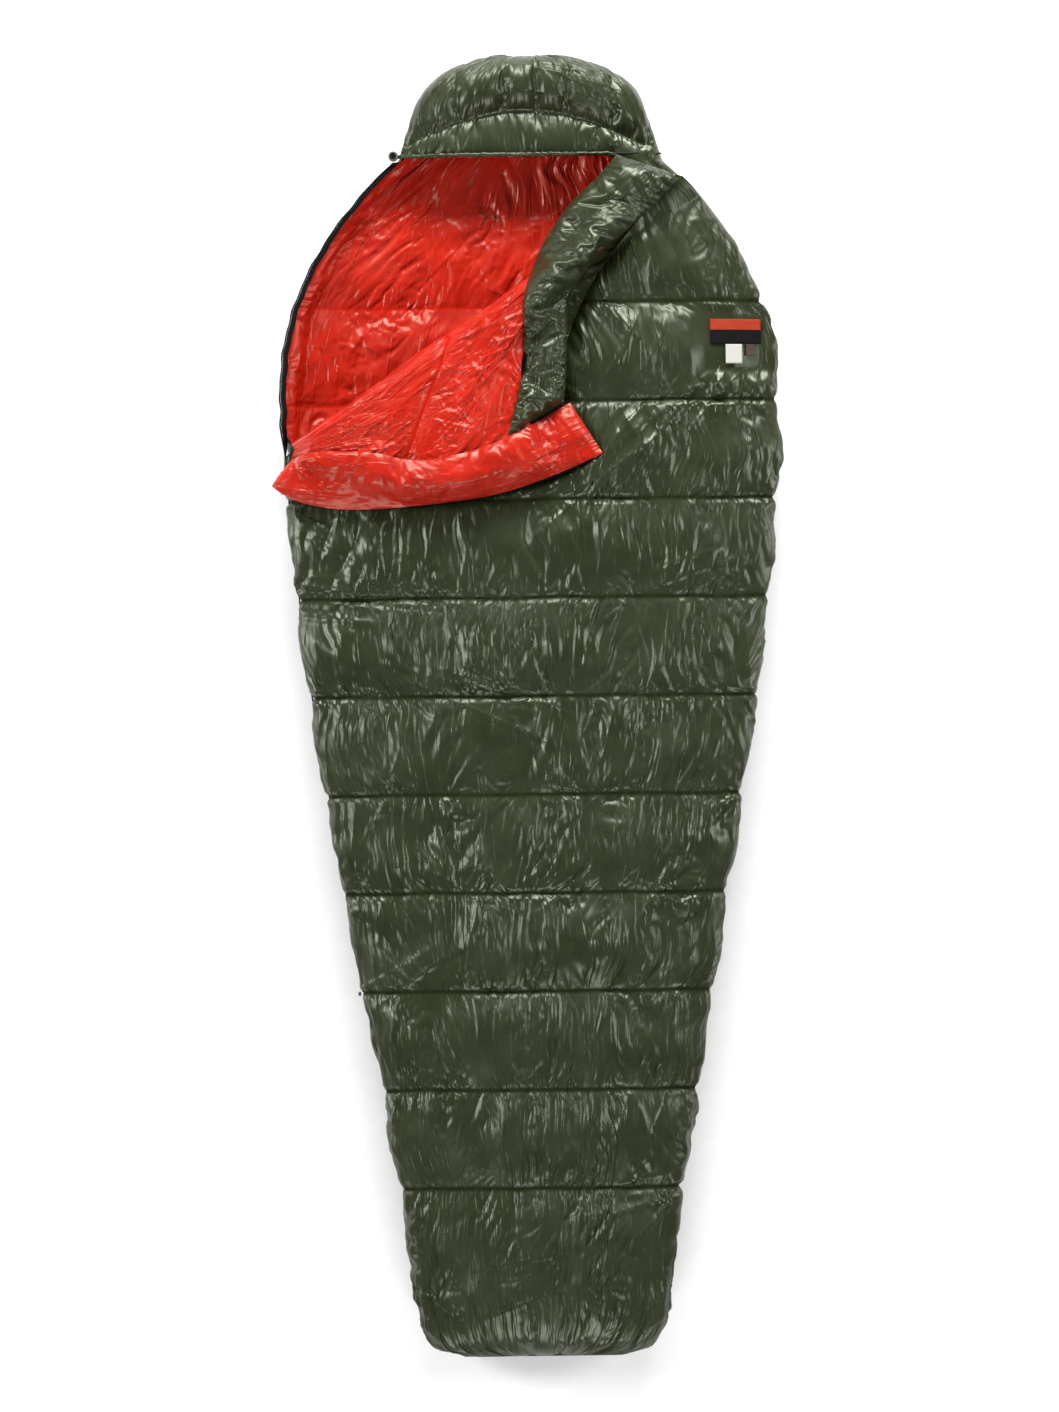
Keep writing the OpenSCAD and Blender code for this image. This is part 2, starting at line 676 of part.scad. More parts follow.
// Neck collar: a puffed band on the lining side, sewn along the neck edge
collar_columns = [for (k = [3 : len(flap_columns) - 2]) k];
collar_swell = [[0, 0.12], [0.25, 0.75], [0.5, 1], [0.75, 0.75], [1, 0.12]];
collar_end_swell = [[0, 0.25], [0.2, 0.85], [0.5, 1], [0.8, 0.9], [1, 0.25]];
function collar_puff(k, t) =
    lookup((t - collar_row) / (neck_row - collar_row), collar_swell)
    * lookup((k - collar_columns[0]) / (len(collar_columns) - 1), collar_end_swell);
// Height of a point depth below the collar's fill
function collar_under(depth) =
    function (k, t) flap_up(-ply_gap)(k, t) - [0, 0, collar_loft * collar_puff(k, t) + depth];

module collar_shell() {
    color(olive)
        turned_over()
            ply(
                grid(collar_rows, collar_columns, collar_under(ply_gap)),
                grid(collar_rows, collar_columns, collar_under(ply_gap + fabric))
            );
}

module collar_fill() {
    color(down)
        turned_over()
            ply(
                grid(collar_rows, collar_columns, flap_up(-ply_gap)),
                grid(collar_rows, collar_columns, collar_under(0))
            );
}

// Draft tube: a padded strip on the lining side, along the flap's zip edge
zip_row = 2.9;
tube_row = 0.5;
tube_ts = [for (t = flap_ts) if (t > tube_row && t < zip_row) t];
tube_columns = [-1, 0, 1, 2];
tube_swell = [0.1, 0.8, 1, 0.08];
tube_end_swell = [[0.5, 0.3], [1, 0.9], [1.25, 1], [2.5, 1], [2.75, 0.6], [3, 0.3]];
function tube_seat(k, t) =
    let (p = flap_up(-ply_gap)(max(k, 0), t)) k < 0 ? p - [tube_lip, 0, 0] : p;
// Height of a point depth below the tube's fill
function tube_under(depth) =
    function (k, t)
        tube_seat(k, t) - [0, 0, tube_loft * tube_swell[k + 1] * lookup(t, tube_end_swell) + depth];

module draft_tube_fill() {
    color(down)
        turned_over()
            ply(
                grid(tube_ts, tube_columns, function (k, t) tube_seat(k, t)),
                grid(tube_ts, tube_columns, tube_under(0))
            );
}

module draft_tube_shell() {
    color(red)
        turned_over()
            ply(
                grid(tube_ts, tube_columns, tube_under(ply_gap)),
                grid(tube_ts, tube_columns, tube_under(ply_gap + fabric))
            );
}

// Zip: two tapes with a coil each, in the left side seam; the bottom half runs on up the open edge
zip_end = foot_y + zip_end_height;
zip_open_run = 60;
open_out = 1.5;
open_up = 0.5;
tape_gap = 0.2;
tape_start = coil_radius + tape_gap;
tape_straight = 4.6;
coil_sides = 6;
row_room = 5;
closed_ys = concat(
    [zip_end],
    [for (y = top_ys) if (y > zip_end + row_room && y < fold_a.y - row_room) y],
    [fold_a.y]
);
open_ys = [for (y = bottom_ys) if (y > fold_a.y + row_room && y <= corner_y) y];
all_zip_ys = concat(closed_ys, open_ys);
function chain_x(y) = -half_width(y) - chain_offset;
function opened(y) = smooth((y - fold_a.y) / zip_open_run);
function coil_ring(c) = [for (i = [0 : coil_sides - 1])
    let (a = 360 * i / coil_sides) c + coil_radius * [cos(a), 0, sin(a)]];

function top_coil(y) = [chain_x(y), y, side_seam + coil_half_pitch];
function bottom_coil(y) =
    let (t = opened(y))
    [chain_x(y) - open_out * t, y, side_seam - coil_half_pitch + (coil_half_pitch + open_up) * t];
// The edge of the quilt that a tape is sewn to
sewn_share = 0.97;
function top_sewn(y) = let (x = -sewn_share * top_half(y)) [x, y, top_z(x, y) + ply_gap];
function bottom_sewn(y) = let (x = -sewn_share * bottom_half(y)) [x, y, under_z(x, y) - ply_gap];
// One face of a tape: straight beside the coil, then leaning in to its sewn edge
function tape_face(coil, away, sewn) = [coil + away * tape_start, coil + away * tape_straight, sewn];
open_lean = 45;
function bottom_lean(y) = open_lean * opened(y);
function bottom_face(y, side, drop) =
    let (a = bottom_lean(y))
    tape_face(
        bottom_coil(y) + side * tape / 2 * [cos(a), 0, sin(a)], [sin(a), 0, -cos(a)],
        bottom_sewn(y) - [0, 0, drop]
    );
function top_face(y, side, rise) =
    tape_face(top_coil(y) + [side * tape / 2, 0, 0], [0, 0, 1], top_sewn(y) + [0, 0, rise]);

module zip_tape_bottom() {
    color(black)
        ply([for (y = all_zip_ys) bottom_face(y, 1, 0)], [for (y = all_zip_ys) bottom_face(y, -1, tape)]);
}

module zip_coil_bottom() {
    color(black)
        skin([for (y = all_zip_ys) backwards(coil_ring(bottom_coil(y)))]);
}

module zip_tape_top() {
    color(black)
        ply([for (y = closed_ys) top_face(y, -1, tape)], [for (y = closed_ys) top_face(y, 1, 0)]);
}

module zip_coil_top() {
    color(black)
        skin([for (y = closed_ys) backwards(coil_ring(top_coil(y)))]);
}

stop_length = 6;
stop_width = 4;
module zip_end_stop() {
    x = chain_x(zip_end);
    height = 2 * (coil_half_pitch + coil_radius);
    color(steel)
        translate([x - stop_width / 2, zip_end - ply_gap - stop_length, side_seam - height / 2])
            cube([stop_width, stop_length, height]);
}

// Flap's half of the zip, along its free edge
tape_reach = 8;
flap_zip_ts = [for (t = flap_ts) if (t < zip_row) t];
function flap_edge_point(t) = flap_down(fabric / 2)(0, t);
function flap_tape_at(out, drop) = function (t) flap_edge_point(t) - [out, 0, drop];

module zip_tape_flap() {
    color(black)
        turned_over()
            ply(
                [for (t = flap_zip_ts) [for (out = [tape_reach, ply_gap]) flap_tape_at(out, -tape / 2)(t)]],
                [for (t = flap_zip_ts) [for (out = [tape_reach, ply_gap]) flap_tape_at(out, tape / 2)(t)]]
            );
}

module zip_coil_flap() {
    color(black)
        turned_over()
            skin([for (t = flap_zip_ts)
                backwards(coil_ring(flap_tape_at(tape_reach + coil_radius + ply_gap, 0)(t)))]);
}

// Slider with its bail, and the pull that swings on the bail's pin
slider_y = fold_a.y - slider_drop;
zip_lean = atan2(half_width(slider_y) - half_width(foot_y + hip_height), slider_y - foot_y - hip_height);
slider_inside = coil_radius + slider_gap;
slider_side = 1.7;
slider_half = coil_half_pitch + coil_radius + slider_side;
flange_width = 1;
tape_slit = tape / 2 + slider_gap;
divider_half = coil_half_pitch - coil_radius - ply_gap;
divider_length = 2.5;
plate_outside = slider_inside + slider_wall;
pin_room = 1.2;
pin_x = plate_outside + pull_pin_r + pin_clear + pin_room;
eye_wall = 1;
eye_radius = pull_pin_r + pin_clear + eye_wall;
eye_half = 2.2;
post_wall = 1.2;
post_gap = 0.3;
post_half = 1.3;
post_z = eye_half + post_gap + post_wall / 2;
pull_wall = 1.2;

module at_slider() {
    translate([chain_x(slider_y), slider_y, side_seam])
        rotate([0, 0, zip_lean])
            children();
}

module slider_body() {
    color(black)
        at_slider()
            union() {
                for (side = [-1, 1]) {
                    translate([side * (slider_inside + slider_wall / 2), 0, 0])
                        cube([slider_wall, slider_length, 2 * slider_half], center = true);
                    for (edge = [-1, 1])
                        translate([side * (tape_slit + plate_outside) / 2, 0,
                                   edge * (slider_half - flange_width / 2)])
                            cube([plate_outside - tape_slit, slider_length, flange_width], center = true);
                }
                translate([0, (slider_length - divider_length) / 2, 0])
                    cube([2 * plate_outside, divider_length, 2 * divider_half], center = true);
                for (edge = [-1, 1])
                    translate([-(plate_outside + pin_x + post_half) / 2, 0, edge * post_z])
                        cube([pin_x + post_half - plate_outside, 2 * post_half, post_wall], center = true);
                translate([-pin_x, 0, 0])
                    cylinder(h = 2 * (eye_half + post_gap + post_wall), r = pull_pin_r, center = true);
            }
}

pull_wide = 0.6;
pull_narrow = 0.8;
grip_at = 0.8;
grip_share = 0.45;
tab_lap = 0.1;
module slider_pull() {
    tab_start = eye_radius + post_half;
    color(black)
        at_slider()
            translate([-pin_x, 0, 0])
                difference() {
                    union() {
                        cylinder(h = 2 * eye_half, r = eye_radius, center = true);
                        translate([0, -tab_start / 2, 0])
                            cube([pull_wall, tab_start, 2 * eye_half], center = true);
                        rotate([0, 90, 0])
                            linear_extrude(pull_wall, center = true)
                                polygon([
                                    [-eye_half, tab_lap - tab_start], [eye_half, tab_lap - tab_start],
                                    [pull_half, -pull_length * pull_wide],
                                    [pull_half * pull_narrow, -pull_length],
                                    [-pull_half * pull_narrow, -pull_length],
                                    [-pull_half, -pull_length * pull_wide]
                                ]);
                    }
                    cylinder(h = 3 * eye_half, r = pull_pin_r + pin_clear, center = true);
                    // Grip hole near the free end
                    translate([0, -pull_length * grip_at, 0])
                        rotate([0, 90, 0])
                            cylinder(h = 2 * pull_wall, r = pull_half * grip_share, center = true);
                }
}

// Sewn patch on the right shoulder, with two tags that hang from its lower edge
label_row = toe_seam + pitch * (chamber_count - 0.25);
label_below = 0.76;
label_low = label_row - label_height * label_below;
label_high = label_low + label_height;
label_x = half_width(label_row) - label_inset;
label_ridge = 0.82;
label_columns = [0, 1, 2];
function label_at(lift) = function (k, y)
    let (x = k == 1 ? label_ridge * top_half(y) : label_x + (k - 1) * label_width / 2)
    [x, y, top_z(x, y) + lift];

module label_patch() {
    ys = [label_low, label_row, label_high];
    color(black)
        ply(
            grid(ys, label_columns, label_at(ply_gap + label_wall)),
            grid(ys, label_columns, label_at(ply_gap))
        );
}

// A tag lies on the shell below the patch, tilted with it; it is sewn along its upper edge
tag_y = label_low - ply_gap - label_wall / 2;
tag_lift = ply_gap + label_wall / 2;
function tag_slope(a, b) = atan2(top_z(a, tag_y) - top_z(b, tag_y), b - a);
tag_space = 6;
large_tag_x = label_ridge * top_half(tag_y);
large_tag_tilt = tag_slope(large_tag_x - large_tag_width / 2, large_tag_x + large_tag_width / 2);
small_tag_x = large_tag_x + large_tag_width / 2 + tag_space + small_tag_width / 2;
small_tag_tilt = tag_slope(small_tag_x - small_tag_width / 2, small_tag_x + small_tag_width / 2);
// The tags clear the chamber's crown, which lies under them
crown_row = label_row - pitch / 4;
function tag_z(x) = top_z(x, crown_row) + tag_lift;

module tag(x, tilt, width, length) {
    translate([x, tag_y, tag_z(x)])
        rotate([0, tilt, 0])
            translate([-width / 2, -length, -label_wall / 2])
                cube([width, length, label_wall]);
}

module large_tag() {
    color([0.9, 0.9, 0.88])
        tag(large_tag_x, large_tag_tilt, large_tag_width, large_tag_length);
}

module small_tag() {
    color([0.3, 0.22, 0.2])
        tag(small_tag_x, small_tag_tilt, small_tag_width, small_tag_length);
}

bottom_shell();
bottom_lining();
bottom_baffles();
top_shell();
top_lining();
top_baffles();
for (i = [1 : bottom_chambers]) bottom_fill(i);
for (i = [1 : top_chambers]) top_fill(i);
hood_shell();
hood_lining();
hood_fill(inset_rows(shorter(roll_ys), fill_inset, 0));  // hood_roll_fill
hood_fill(inset_rows(band_ys, 0, fill_inset));  // hood_band_fill
hood_hem();
hood_drawcord();
flap_shell();
flap_lining();
flap_baffles();
for (i = [1 : 3]) flap_fill(i);
collar_shell();
collar_fill();
draft_tube_shell();
draft_tube_fill();
zip_tape_bottom();
zip_coil_bottom();
zip_tape_top();
zip_coil_top();
zip_end_stop();
zip_tape_flap();
zip_coil_flap();
slider_body();
slider_pull();
cord_lock_body();
cord_lock_button();
cord_lock_spring();
label_patch();
large_tag();
small_tag();
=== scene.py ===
"""Mummy sleeping bag: quilted nylon, zip, hood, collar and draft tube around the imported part."""
import math

import bmesh
import bpy
import numpy as np
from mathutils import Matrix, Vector
from mathutils.bvhtree import BVHTree

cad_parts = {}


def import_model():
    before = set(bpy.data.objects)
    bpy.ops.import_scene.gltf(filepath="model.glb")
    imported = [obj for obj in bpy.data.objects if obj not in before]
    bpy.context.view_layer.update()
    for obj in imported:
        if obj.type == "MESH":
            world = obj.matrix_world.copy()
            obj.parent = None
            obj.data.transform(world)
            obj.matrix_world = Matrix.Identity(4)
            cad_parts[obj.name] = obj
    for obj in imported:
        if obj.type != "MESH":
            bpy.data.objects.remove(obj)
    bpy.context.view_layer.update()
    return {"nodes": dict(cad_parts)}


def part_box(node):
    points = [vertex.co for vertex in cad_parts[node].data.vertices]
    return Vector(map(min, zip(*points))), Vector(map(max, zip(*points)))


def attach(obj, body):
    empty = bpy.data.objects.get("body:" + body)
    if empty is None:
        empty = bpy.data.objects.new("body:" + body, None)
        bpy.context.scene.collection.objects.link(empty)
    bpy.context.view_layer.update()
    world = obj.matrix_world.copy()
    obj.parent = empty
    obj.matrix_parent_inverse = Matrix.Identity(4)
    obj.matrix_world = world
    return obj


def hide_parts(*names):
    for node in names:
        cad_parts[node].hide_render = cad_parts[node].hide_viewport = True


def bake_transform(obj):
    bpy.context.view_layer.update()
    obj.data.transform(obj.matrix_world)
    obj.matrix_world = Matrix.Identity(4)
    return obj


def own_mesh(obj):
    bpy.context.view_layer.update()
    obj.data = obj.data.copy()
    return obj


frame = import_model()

F = np.float32
scene = bpy.context.scene

# Outline of the bag, in metres
FOOT_Y, HEAD_Y = -1.05, 1.05
HIP_Y, SHOULDER_Y, SHOULDER_TOP_Y, NECK_Y = 0.075, 0.395, 0.5, 0.881
FOOT_HALF, HIP_HALF, SHOULDER_HALF, NECK_HALF, HOOD_TIP_HALF = 0.19, 0.3715, 0.402, 0.216, 0.162
FOOT_ROUND, FOOT_CAP, HOOD_CAP = 0.06, 0.11, 0.09
SHOULDER_CURVE, HOOD_CURVE, HOOD_BLUNTNESS = 2.2, 6, 0.93
# Stitch lines
TOE_SEAM, FIRST_SEAM, CHAMBERS = -0.775, 0.65, 9
PITCH = (FIRST_SEAM - TOE_SEAM) / CHAMBERS
SIDE_NIP, NIP_GAIN, SEAM_IN = 0.005, 1.6, 0.003
# Heights
SIDE_SEAM, CEILING, TOP_CROWN, FOLD_Z = 0.084, 0.092, 0.138, 0.1382
BOTTOM_LOFT = 0.046
# The fold that the flap is turned over, from the zip edge to the far shoulder
FOLD_A = np.array([-0.402, 0.403])
FOLD_C = np.array([0.245731, 0.852])
FOLD_DIR = (FOLD_C - FOLD_A) / np.linalg.norm(FOLD_C - FOLD_A)
FOLD_NORMAL = np.array([FOLD_DIR[1], -FOLD_DIR[0]])
CORNER_Y, NECK_DIP, DIP_CURVE, DIP_SKEW = 0.870, 0.095, 1.5, 0.8
COLLAR_WIDTH = 0.072
# Hood
HEM_Y, HOOD_CROWN = 0.897, 0.135


def clamp(t):
    return np.clip(t, 0, 1)


def mix(a, b, t):
    return a + (b - a) * t


def ramp(t):
    return np.sqrt(1 - (1 - clamp(t)) ** 2)


def smooth(t):
    c = clamp(t)
    return c * c * (3 - 2 * c)


def half_width(y):
    """Half the bag's width at y."""
    h = np.asarray(y, float) - FOOT_Y
    r = FOOT_ROUND
    trim = np.where(h < r, r - np.sqrt(np.maximum(r * r - (r - np.clip(h, 0, r)) ** 2, 0)), 0)
    t = clamp((h - (NECK_Y - FOOT_Y)) / (HEAD_Y - NECK_Y))
    y = h + FOOT_Y
    slope = clamp((y - SHOULDER_TOP_Y) / (NECK_Y - SHOULDER_TOP_Y)) ** SHOULDER_CURVE
    return np.select(
        [y < HIP_Y, y < SHOULDER_Y, y < SHOULDER_TOP_Y, y < NECK_Y],
        [
            mix(FOOT_HALF, HIP_HALF, h / (HIP_Y - FOOT_Y)) - trim,
            mix(HIP_HALF, SHOULDER_HALF, (y - HIP_Y) / (SHOULDER_Y - HIP_Y)),
            SHOULDER_HALF + 0 * h,
            mix(SHOULDER_HALF, NECK_HALF, slope),
        ],
        mix(NECK_HALF, HOOD_TIP_HALF, t) * np.sqrt(1 - HOOD_BLUNTNESS * t**HOOD_CURVE),
    )


def puff(y, top_seam):
    """How full a quilt is at y: 0 on a stitch line, 1 in the middle of a chamber."""
    y = np.asarray(y, float)
    inside = ((y - TOE_SEAM) / PITCH) % 1.0
    toe = np.minimum((TOE_SEAM - y) / PITCH, 0.5)
    head = np.minimum((y - top_seam) / PITCH, 0.5)
    v = np.where(y < TOE_SEAM, toe, np.where(y > top_seam, head, inside))
    return np.sin(np.pi * v) ** 1.5


def wobble(y, side):
    """Small unevenness of the sewn side edge."""
    return 0.0016 * np.sin(31 * y + 2 * side) + 0.0012 * np.sin(77 * y + side) + 0.0008 * np.sin(163 * y)


def rim(y, side):
    """Distance of the side edge from the centre line."""
    nip = NIP_GAIN * SIDE_NIP * (1 - puff(y, FIRST_SEAM) ** 0.4)
    return half_width(y) - SEAM_IN - nip + wobble(y, side)


# Cloth: grids of points held at the length that the cloth was cut to

# Share of the excess taken up at each level, and how far a seam is felt, in chambers
TAKEN_UP, SEAM_NEAR, SEAM_PUCKER, SEAM_RISE = (0.3, 0.7, 1.0), 0.05, 0.12, 0.3
# How much of a fault one pass mends, and how freely a seam row moves
HOLD, SHEAR_HOLD, LIMIT_HOLD, SEAM_GIVE = F(0.9), F(0.4), F(0.3), F(0.25)
DRAG, BEND_REACH, SKEW, FIRST_RIPPLE = F(0.9), F(0.998), 0.02, 0.0015
TINY, LEAST_WEIGHT = F(1e-9), F(1e-6)


def pull(p, w, rest, a, b, stiff, only_open=False):
    """Brings the points at a and b towards their rest length apart."""
    d = p[b] - p[a]
    length = np.sqrt(np.einsum("ijk,ijk->ij", d, d)) + TINY
    c = (length - rest) / length
    if only_open:
        c = np.minimum(c, 0)
    d *= (c * stiff / np.maximum(w[a] + w[b], LEAST_WEIGHT))[..., None]
    p[a] += d * w[a][..., None]
    p[b] -= d * w[b][..., None]


def stretch(p, w, rest, axis, gap, stiff, only_open=False):
    """One pass over all points that lie gap apart along an axis."""
    if axis:
        p, w, rest = p.transpose(1, 0, 2), w.T, rest.T
    for k in range(2 * gap):
        i = np.arange(k, p.shape[0] - gap, 2 * gap)
        pull(p, w, rest[i], i, i + gap, stiff, only_open)


def shear(p, w, rests, stiff):
    """One pass over both diagonals of every cell."""
    for turn, rest in enumerate(rests):
        for k in (0, 1):
            for m in (0, 1):
                near, far = slice(m, p.shape[1] - 1, 2), slice(m + 1, None, 2)
                first, last = (near, far) if turn == 0 else (far, near)
                a = (slice(k, p.shape[0] - 1, 2), first)
                b = (slice(k + 1, None, 2), last)
                pull(p, w, rest[k::2, m::2], a, b, stiff)


def lengths(p, axis):
    return np.linalg.norm(np.diff(p, axis=axis), axis=-1)


def diagonals(p):
    return (
        np.linalg.norm(p[1:, 1:] - p[:-1, :-1], axis=-1),
        np.linalg.norm(p[1:, :-1] - p[:-1, 1:], axis=-1),
    )


def normals(p):
    du, dv = np.gradient(p, axis=1), np.gradient(p, axis=0)
    n = np.cross(du, dv)
    return (n / (np.linalg.norm(n, axis=-1, keepdims=True) + 1e-12)).astype(p.dtype)


def finer(a):
    """The grid with a point between each two, on a smooth curve through them."""
    for axis in (0, 1):
        q = np.moveaxis(a, axis, 0)
        out = np.empty((2 * q.shape[0] - 1,) + q.shape[1:], q.dtype)
        out[::2] = q
        out[1::2] = (q[1:] + q[:-1]) / 2
        out[3:-2:2] = (9 * (q[1:-2] + q[2:-1]) - q[:-3] - q[3:]) / 16
        a = np.moveaxis(out, 0, axis)
    return np.ascontiguousarray(a)


def soft_noise(rng, shape, size):
    """Smooth noise of unit spread whose bumps are about size cells long."""

    def cubic(g, n):
        t = np.linspace(1, g.shape[0] - 2.001, n)
        i = t.astype(int)
        f = (t - i)[:, None]
        a, b, c, d = g[i - 1], g[i], g[i + 1], g[np.minimum(i + 2, g.shape[0] - 1)]
        return b + 0.5 * f * (c - a + f * (2 * a - 5 * b + 4 * c - d + f * (3 * (b - c) + d - a)))

    count = [max(2, int(n / s) + 3) for n, s in zip(shape, size)]
    return cubic(cubic(rng.standard_normal(count), shape[0]).T, shape[1]).T.astype(F)


def drape(base, seams, seed, passes, excess, press=4e-6, low=-0.004, high=0.010, bend=(0.25, 0.07),
          seam_slack=(0.004, 0.002, 0.0025), per=12, floor=None):
    """Cloth cut a little larger than base, sewn down on the seam rows and filled out a little.

    Each entry of passes is one level; every level after the first doubles the grid's density and takes up
    more of the cloth's excess, so that most of it goes into small folds.
    """
    rng = np.random.default_rng(seed)
    p = base.astype(F)
    b = p.copy()
    rows = list(seams)
    for level, count in enumerate(passes):
        if level:
            p, b = finer(p), finer(b)
            rows = [2 * i for i in rows]
        shape = p.shape[:2]
        cell = 2**level
        g = np.random.default_rng(seed)
        gap = np.full(shape[0], 1e6)
        if rows:
            gap = np.min([np.abs(np.arange(shape[0]) - i) for i in rows], axis=0)
        near = np.exp(-((gap / (per * cell) / SEAM_NEAR) ** 2))[:, None]
        pucker = np.exp(-((gap / (per * cell) / SEAM_PUCKER) ** 2))[:, None]
        taken = TAKEN_UP[min(level, 2)]
        across = soft_noise(g, shape, (9 * cell, 3 * cell))
        along = soft_noise(g, shape, (3 * cell, 5 * cell))
        skew = SKEW * soft_noise(g, shape, (5 * cell, 5 * cell))[1:, 1:]
        ex = np.maximum(taken * excess[0] * (1 - 0.7 * near + 0.9 * pucker) * (1 + 0.6 * across), 0)
        ey = np.maximum(taken * excess[1] * (1 + 0.8 * along), 0)
        ru = (lengths(b, 1) * (1 + (ex[:, 1:] + ex[:, :-1]) / 2)).astype(F)
        rv = (lengths(b, 0) * (1 + (ey[1:] + ey[:-1]) / 2)).astype(F)
        full = 1 + (ex[1:, 1:] + ey[1:, 1:]) / 2
        d1, d2 = diagonals(b)
        rests = ((d1 * full * (1 + skew)).astype(F), (d2 * full * (1 - skew)).astype(F))
        bu = (ru[:, 1:] + ru[:, :-1]) * BEND_REACH
        bv = (rv[1:] + rv[:-1]) * BEND_REACH
        w = np.ones(shape, F)
        w[:, 0] = w[:, -1] = w[0] = w[-1] = 0
        for i in rows:
            w[i] = np.minimum(w[i], SEAM_GIVE)
        free = (w > 0).astype(F)[..., None]
        nb = normals(b)
        p += nb * (soft_noise(rng, shape, (4, 1.5)) * F(FIRST_RIPPLE / cell) * (w > 0.5))[..., None]
        rise = clamp(gap / (per * cell) / SEAM_RISE)[:, None]
        top = (high * rise * (1 + 0.35 * soft_noise(g, shape, (5 * cell, 4 * cell)))).astype(F)
        slack = np.array(seam_slack, F)
        old = p.copy()
        for _ in range(count):
            v = (p - old) * DRAG
            old = p.copy()
            p = p + (v + normals(p) * F(press / cell)) * free
            stretch(p, w, rv, 0, 1, HOLD)
            stretch(p, w, ru, 1, 1, HOLD)
            shear(p, w, rests, SHEAR_HOLD)
            stretch(p, w, bv, 0, 2, F(bend[0]), True)
            stretch(p, w, bu, 1, 2, F(bend[1]), True)
            off = np.einsum("ijk,ijk->ij", p - b, nb)
            p -= nb * ((off - np.clip(off, low, top)) * LIMIT_HOLD)[..., None] * free
            for i in rows:
                p[i] = b[i] + np.clip(p[i] - b[i], -slack, slack)
            if floor is not None:
                p[..., 2] = np.maximum(p[..., 2], F(floor))
    return p


def cloth_places(p):
    """Places on the cloth along its columns and its rows, in metres."""
    u = np.concatenate([[0], np.cumsum(lengths(p, 1).mean(0))])
    v = np.concatenate([[0], np.cumsum(lengths(p, 0).mean(1))])
    return u - u[-1] / 2, v


FOLD_MARGIN, EDGE_CELLS = 0.02, 4
# Folds in bundles: spread of a bundle, number of its folds and mean of that number
BUNDLE_SPREAD, BUNDLE_FOLDS, BUNDLE_MEAN = 0.03, (3, 12), 7
# Puckers on the seams: how many to the metre, and their sizes
SEAM_HOLD, PUCKERS, PUCKER_REACH = 0.010, 110, (0.004, 0.013)
PUCKER_HEIGHT, PUCKER_SIDES = (0.0002, 0.0007), (0.0012, 0.0028)


def add_fold(h, u, v, place, way, reach, tall, sides, curve=0.0):
    """Raises one sharp fold line on a sheet: steep on one side, gentle on the other."""
    x0, y0 = place
    i0, i1 = np.searchsorted(v, [y0 - reach - FOLD_MARGIN, y0 + reach + FOLD_MARGIN])
    j0, j1 = np.searchsorted(u, [x0 - reach - FOLD_MARGIN, x0 + reach + FOLD_MARGIN])
    x, y = np.meshgrid(u[j0:j1] - x0, v[i0:i1] - y0)
    s = x * math.sin(way) + y * math.cos(way)
    d = x * math.cos(way) - y * math.sin(way) + curve * s * s
    fade = np.clip(1 - (s / reach) ** 2, 0, 1)
    h[i0:i1, j0:j1] += tall * fade * np.exp(-np.abs(d) / np.where(d > 0, *sides))


def crease_lines(p, seed, density=800, lean=0.14, height=0.0024, upright=0.7, length=0.06,
                 steep=(0.0013, 0.0022), gentle=(0.004, 0.014), seams=()):
    """Heights of sharp fold lines that lie in bundles over a sheet, and of short puckers on its seams."""
    rng = np.random.default_rng(seed)
    u, v = cloth_places(p)
    h = np.zeros(p.shape[:2], F)
    for _ in range(int((u[-1] - u[0]) * v[-1] * density / BUNDLE_MEAN)):
        centre = rng.uniform(u[0], u[-1]), rng.uniform(0, v[-1])
        way = rng.normal(0, lean) if rng.random() < upright else rng.uniform(-1.5, 1.5)
        for _ in range(rng.integers(*BUNDLE_FOLDS)):
            reach = rng.lognormal(math.log(length), 0.5)
            tall = height * rng.uniform(0.3, 1) * min(1.6, (reach / 0.05) ** 0.5)
            sides = (rng.uniform(*steep), rng.uniform(*gentle))
            place = centre[0] + rng.normal(0, BUNDLE_SPREAD), centre[1] + rng.normal(0, BUNDLE_SPREAD)
            turned = sides if rng.random() < 0.5 else sides[::-1]
            add_fold(h, u, v, place, way + rng.normal(0, 0.06), reach, tall, turned, rng.normal(0, 0.3))
    for row in seams:
        h *= clamp(np.abs(v - v[row]) / SEAM_HOLD)[:, None].astype(F)
    for row in seams:
        for x0 in rng.uniform(u[0], u[-1], int(PUCKERS * (u[-1] - u[0]))):
            reach = rng.uniform(*PUCKER_REACH)
            place = x0, v[row] + rng.choice((-1, 1)) * (reach + 0.0005)
            way = rng.normal(0, 0.25)
            add_fold(h, u, v, place, way, reach, rng.uniform(*PUCKER_HEIGHT), PUCKER_SIDES)
    return h


def creased(p, seed, **options):
    """The sheet with its fold lines raised, fading out at its edges."""
    edge = np.minimum.outer(*[np.minimum(np.arange(n), np.arange(n)[::-1]) for n in p.shape[:2]])
    height = crease_lines(p, seed, **options) * clamp(edge / EDGE_CELLS)
    return p + normals(p) * height[..., None].astype(F)


def sewn(p, seams, depth=0.0002, half=0.003):
    """The sheet with a narrow groove along its seams, and how near each place is to one, which sets the
    painted shade along the seams.
    """
    _, v = cloth_places(p)
    near = np.max([np.exp(-np.abs(v - v[row]) / half) for row in seams], axis=0)[:, None].astype(F)
    return p - normals(p) * (depth * near)[..., None], near + np.zeros(p.shape[:2], F)


# Meshes


def new_object(name, mesh, material):
    obj = bpy.data.objects.new(name, mesh)
    scene.collection.objects.link(obj)
    mesh.materials.append(material)
    mesh.polygons.foreach_set("use_smooth", np.ones(len(mesh.polygons), bool))
    return obj


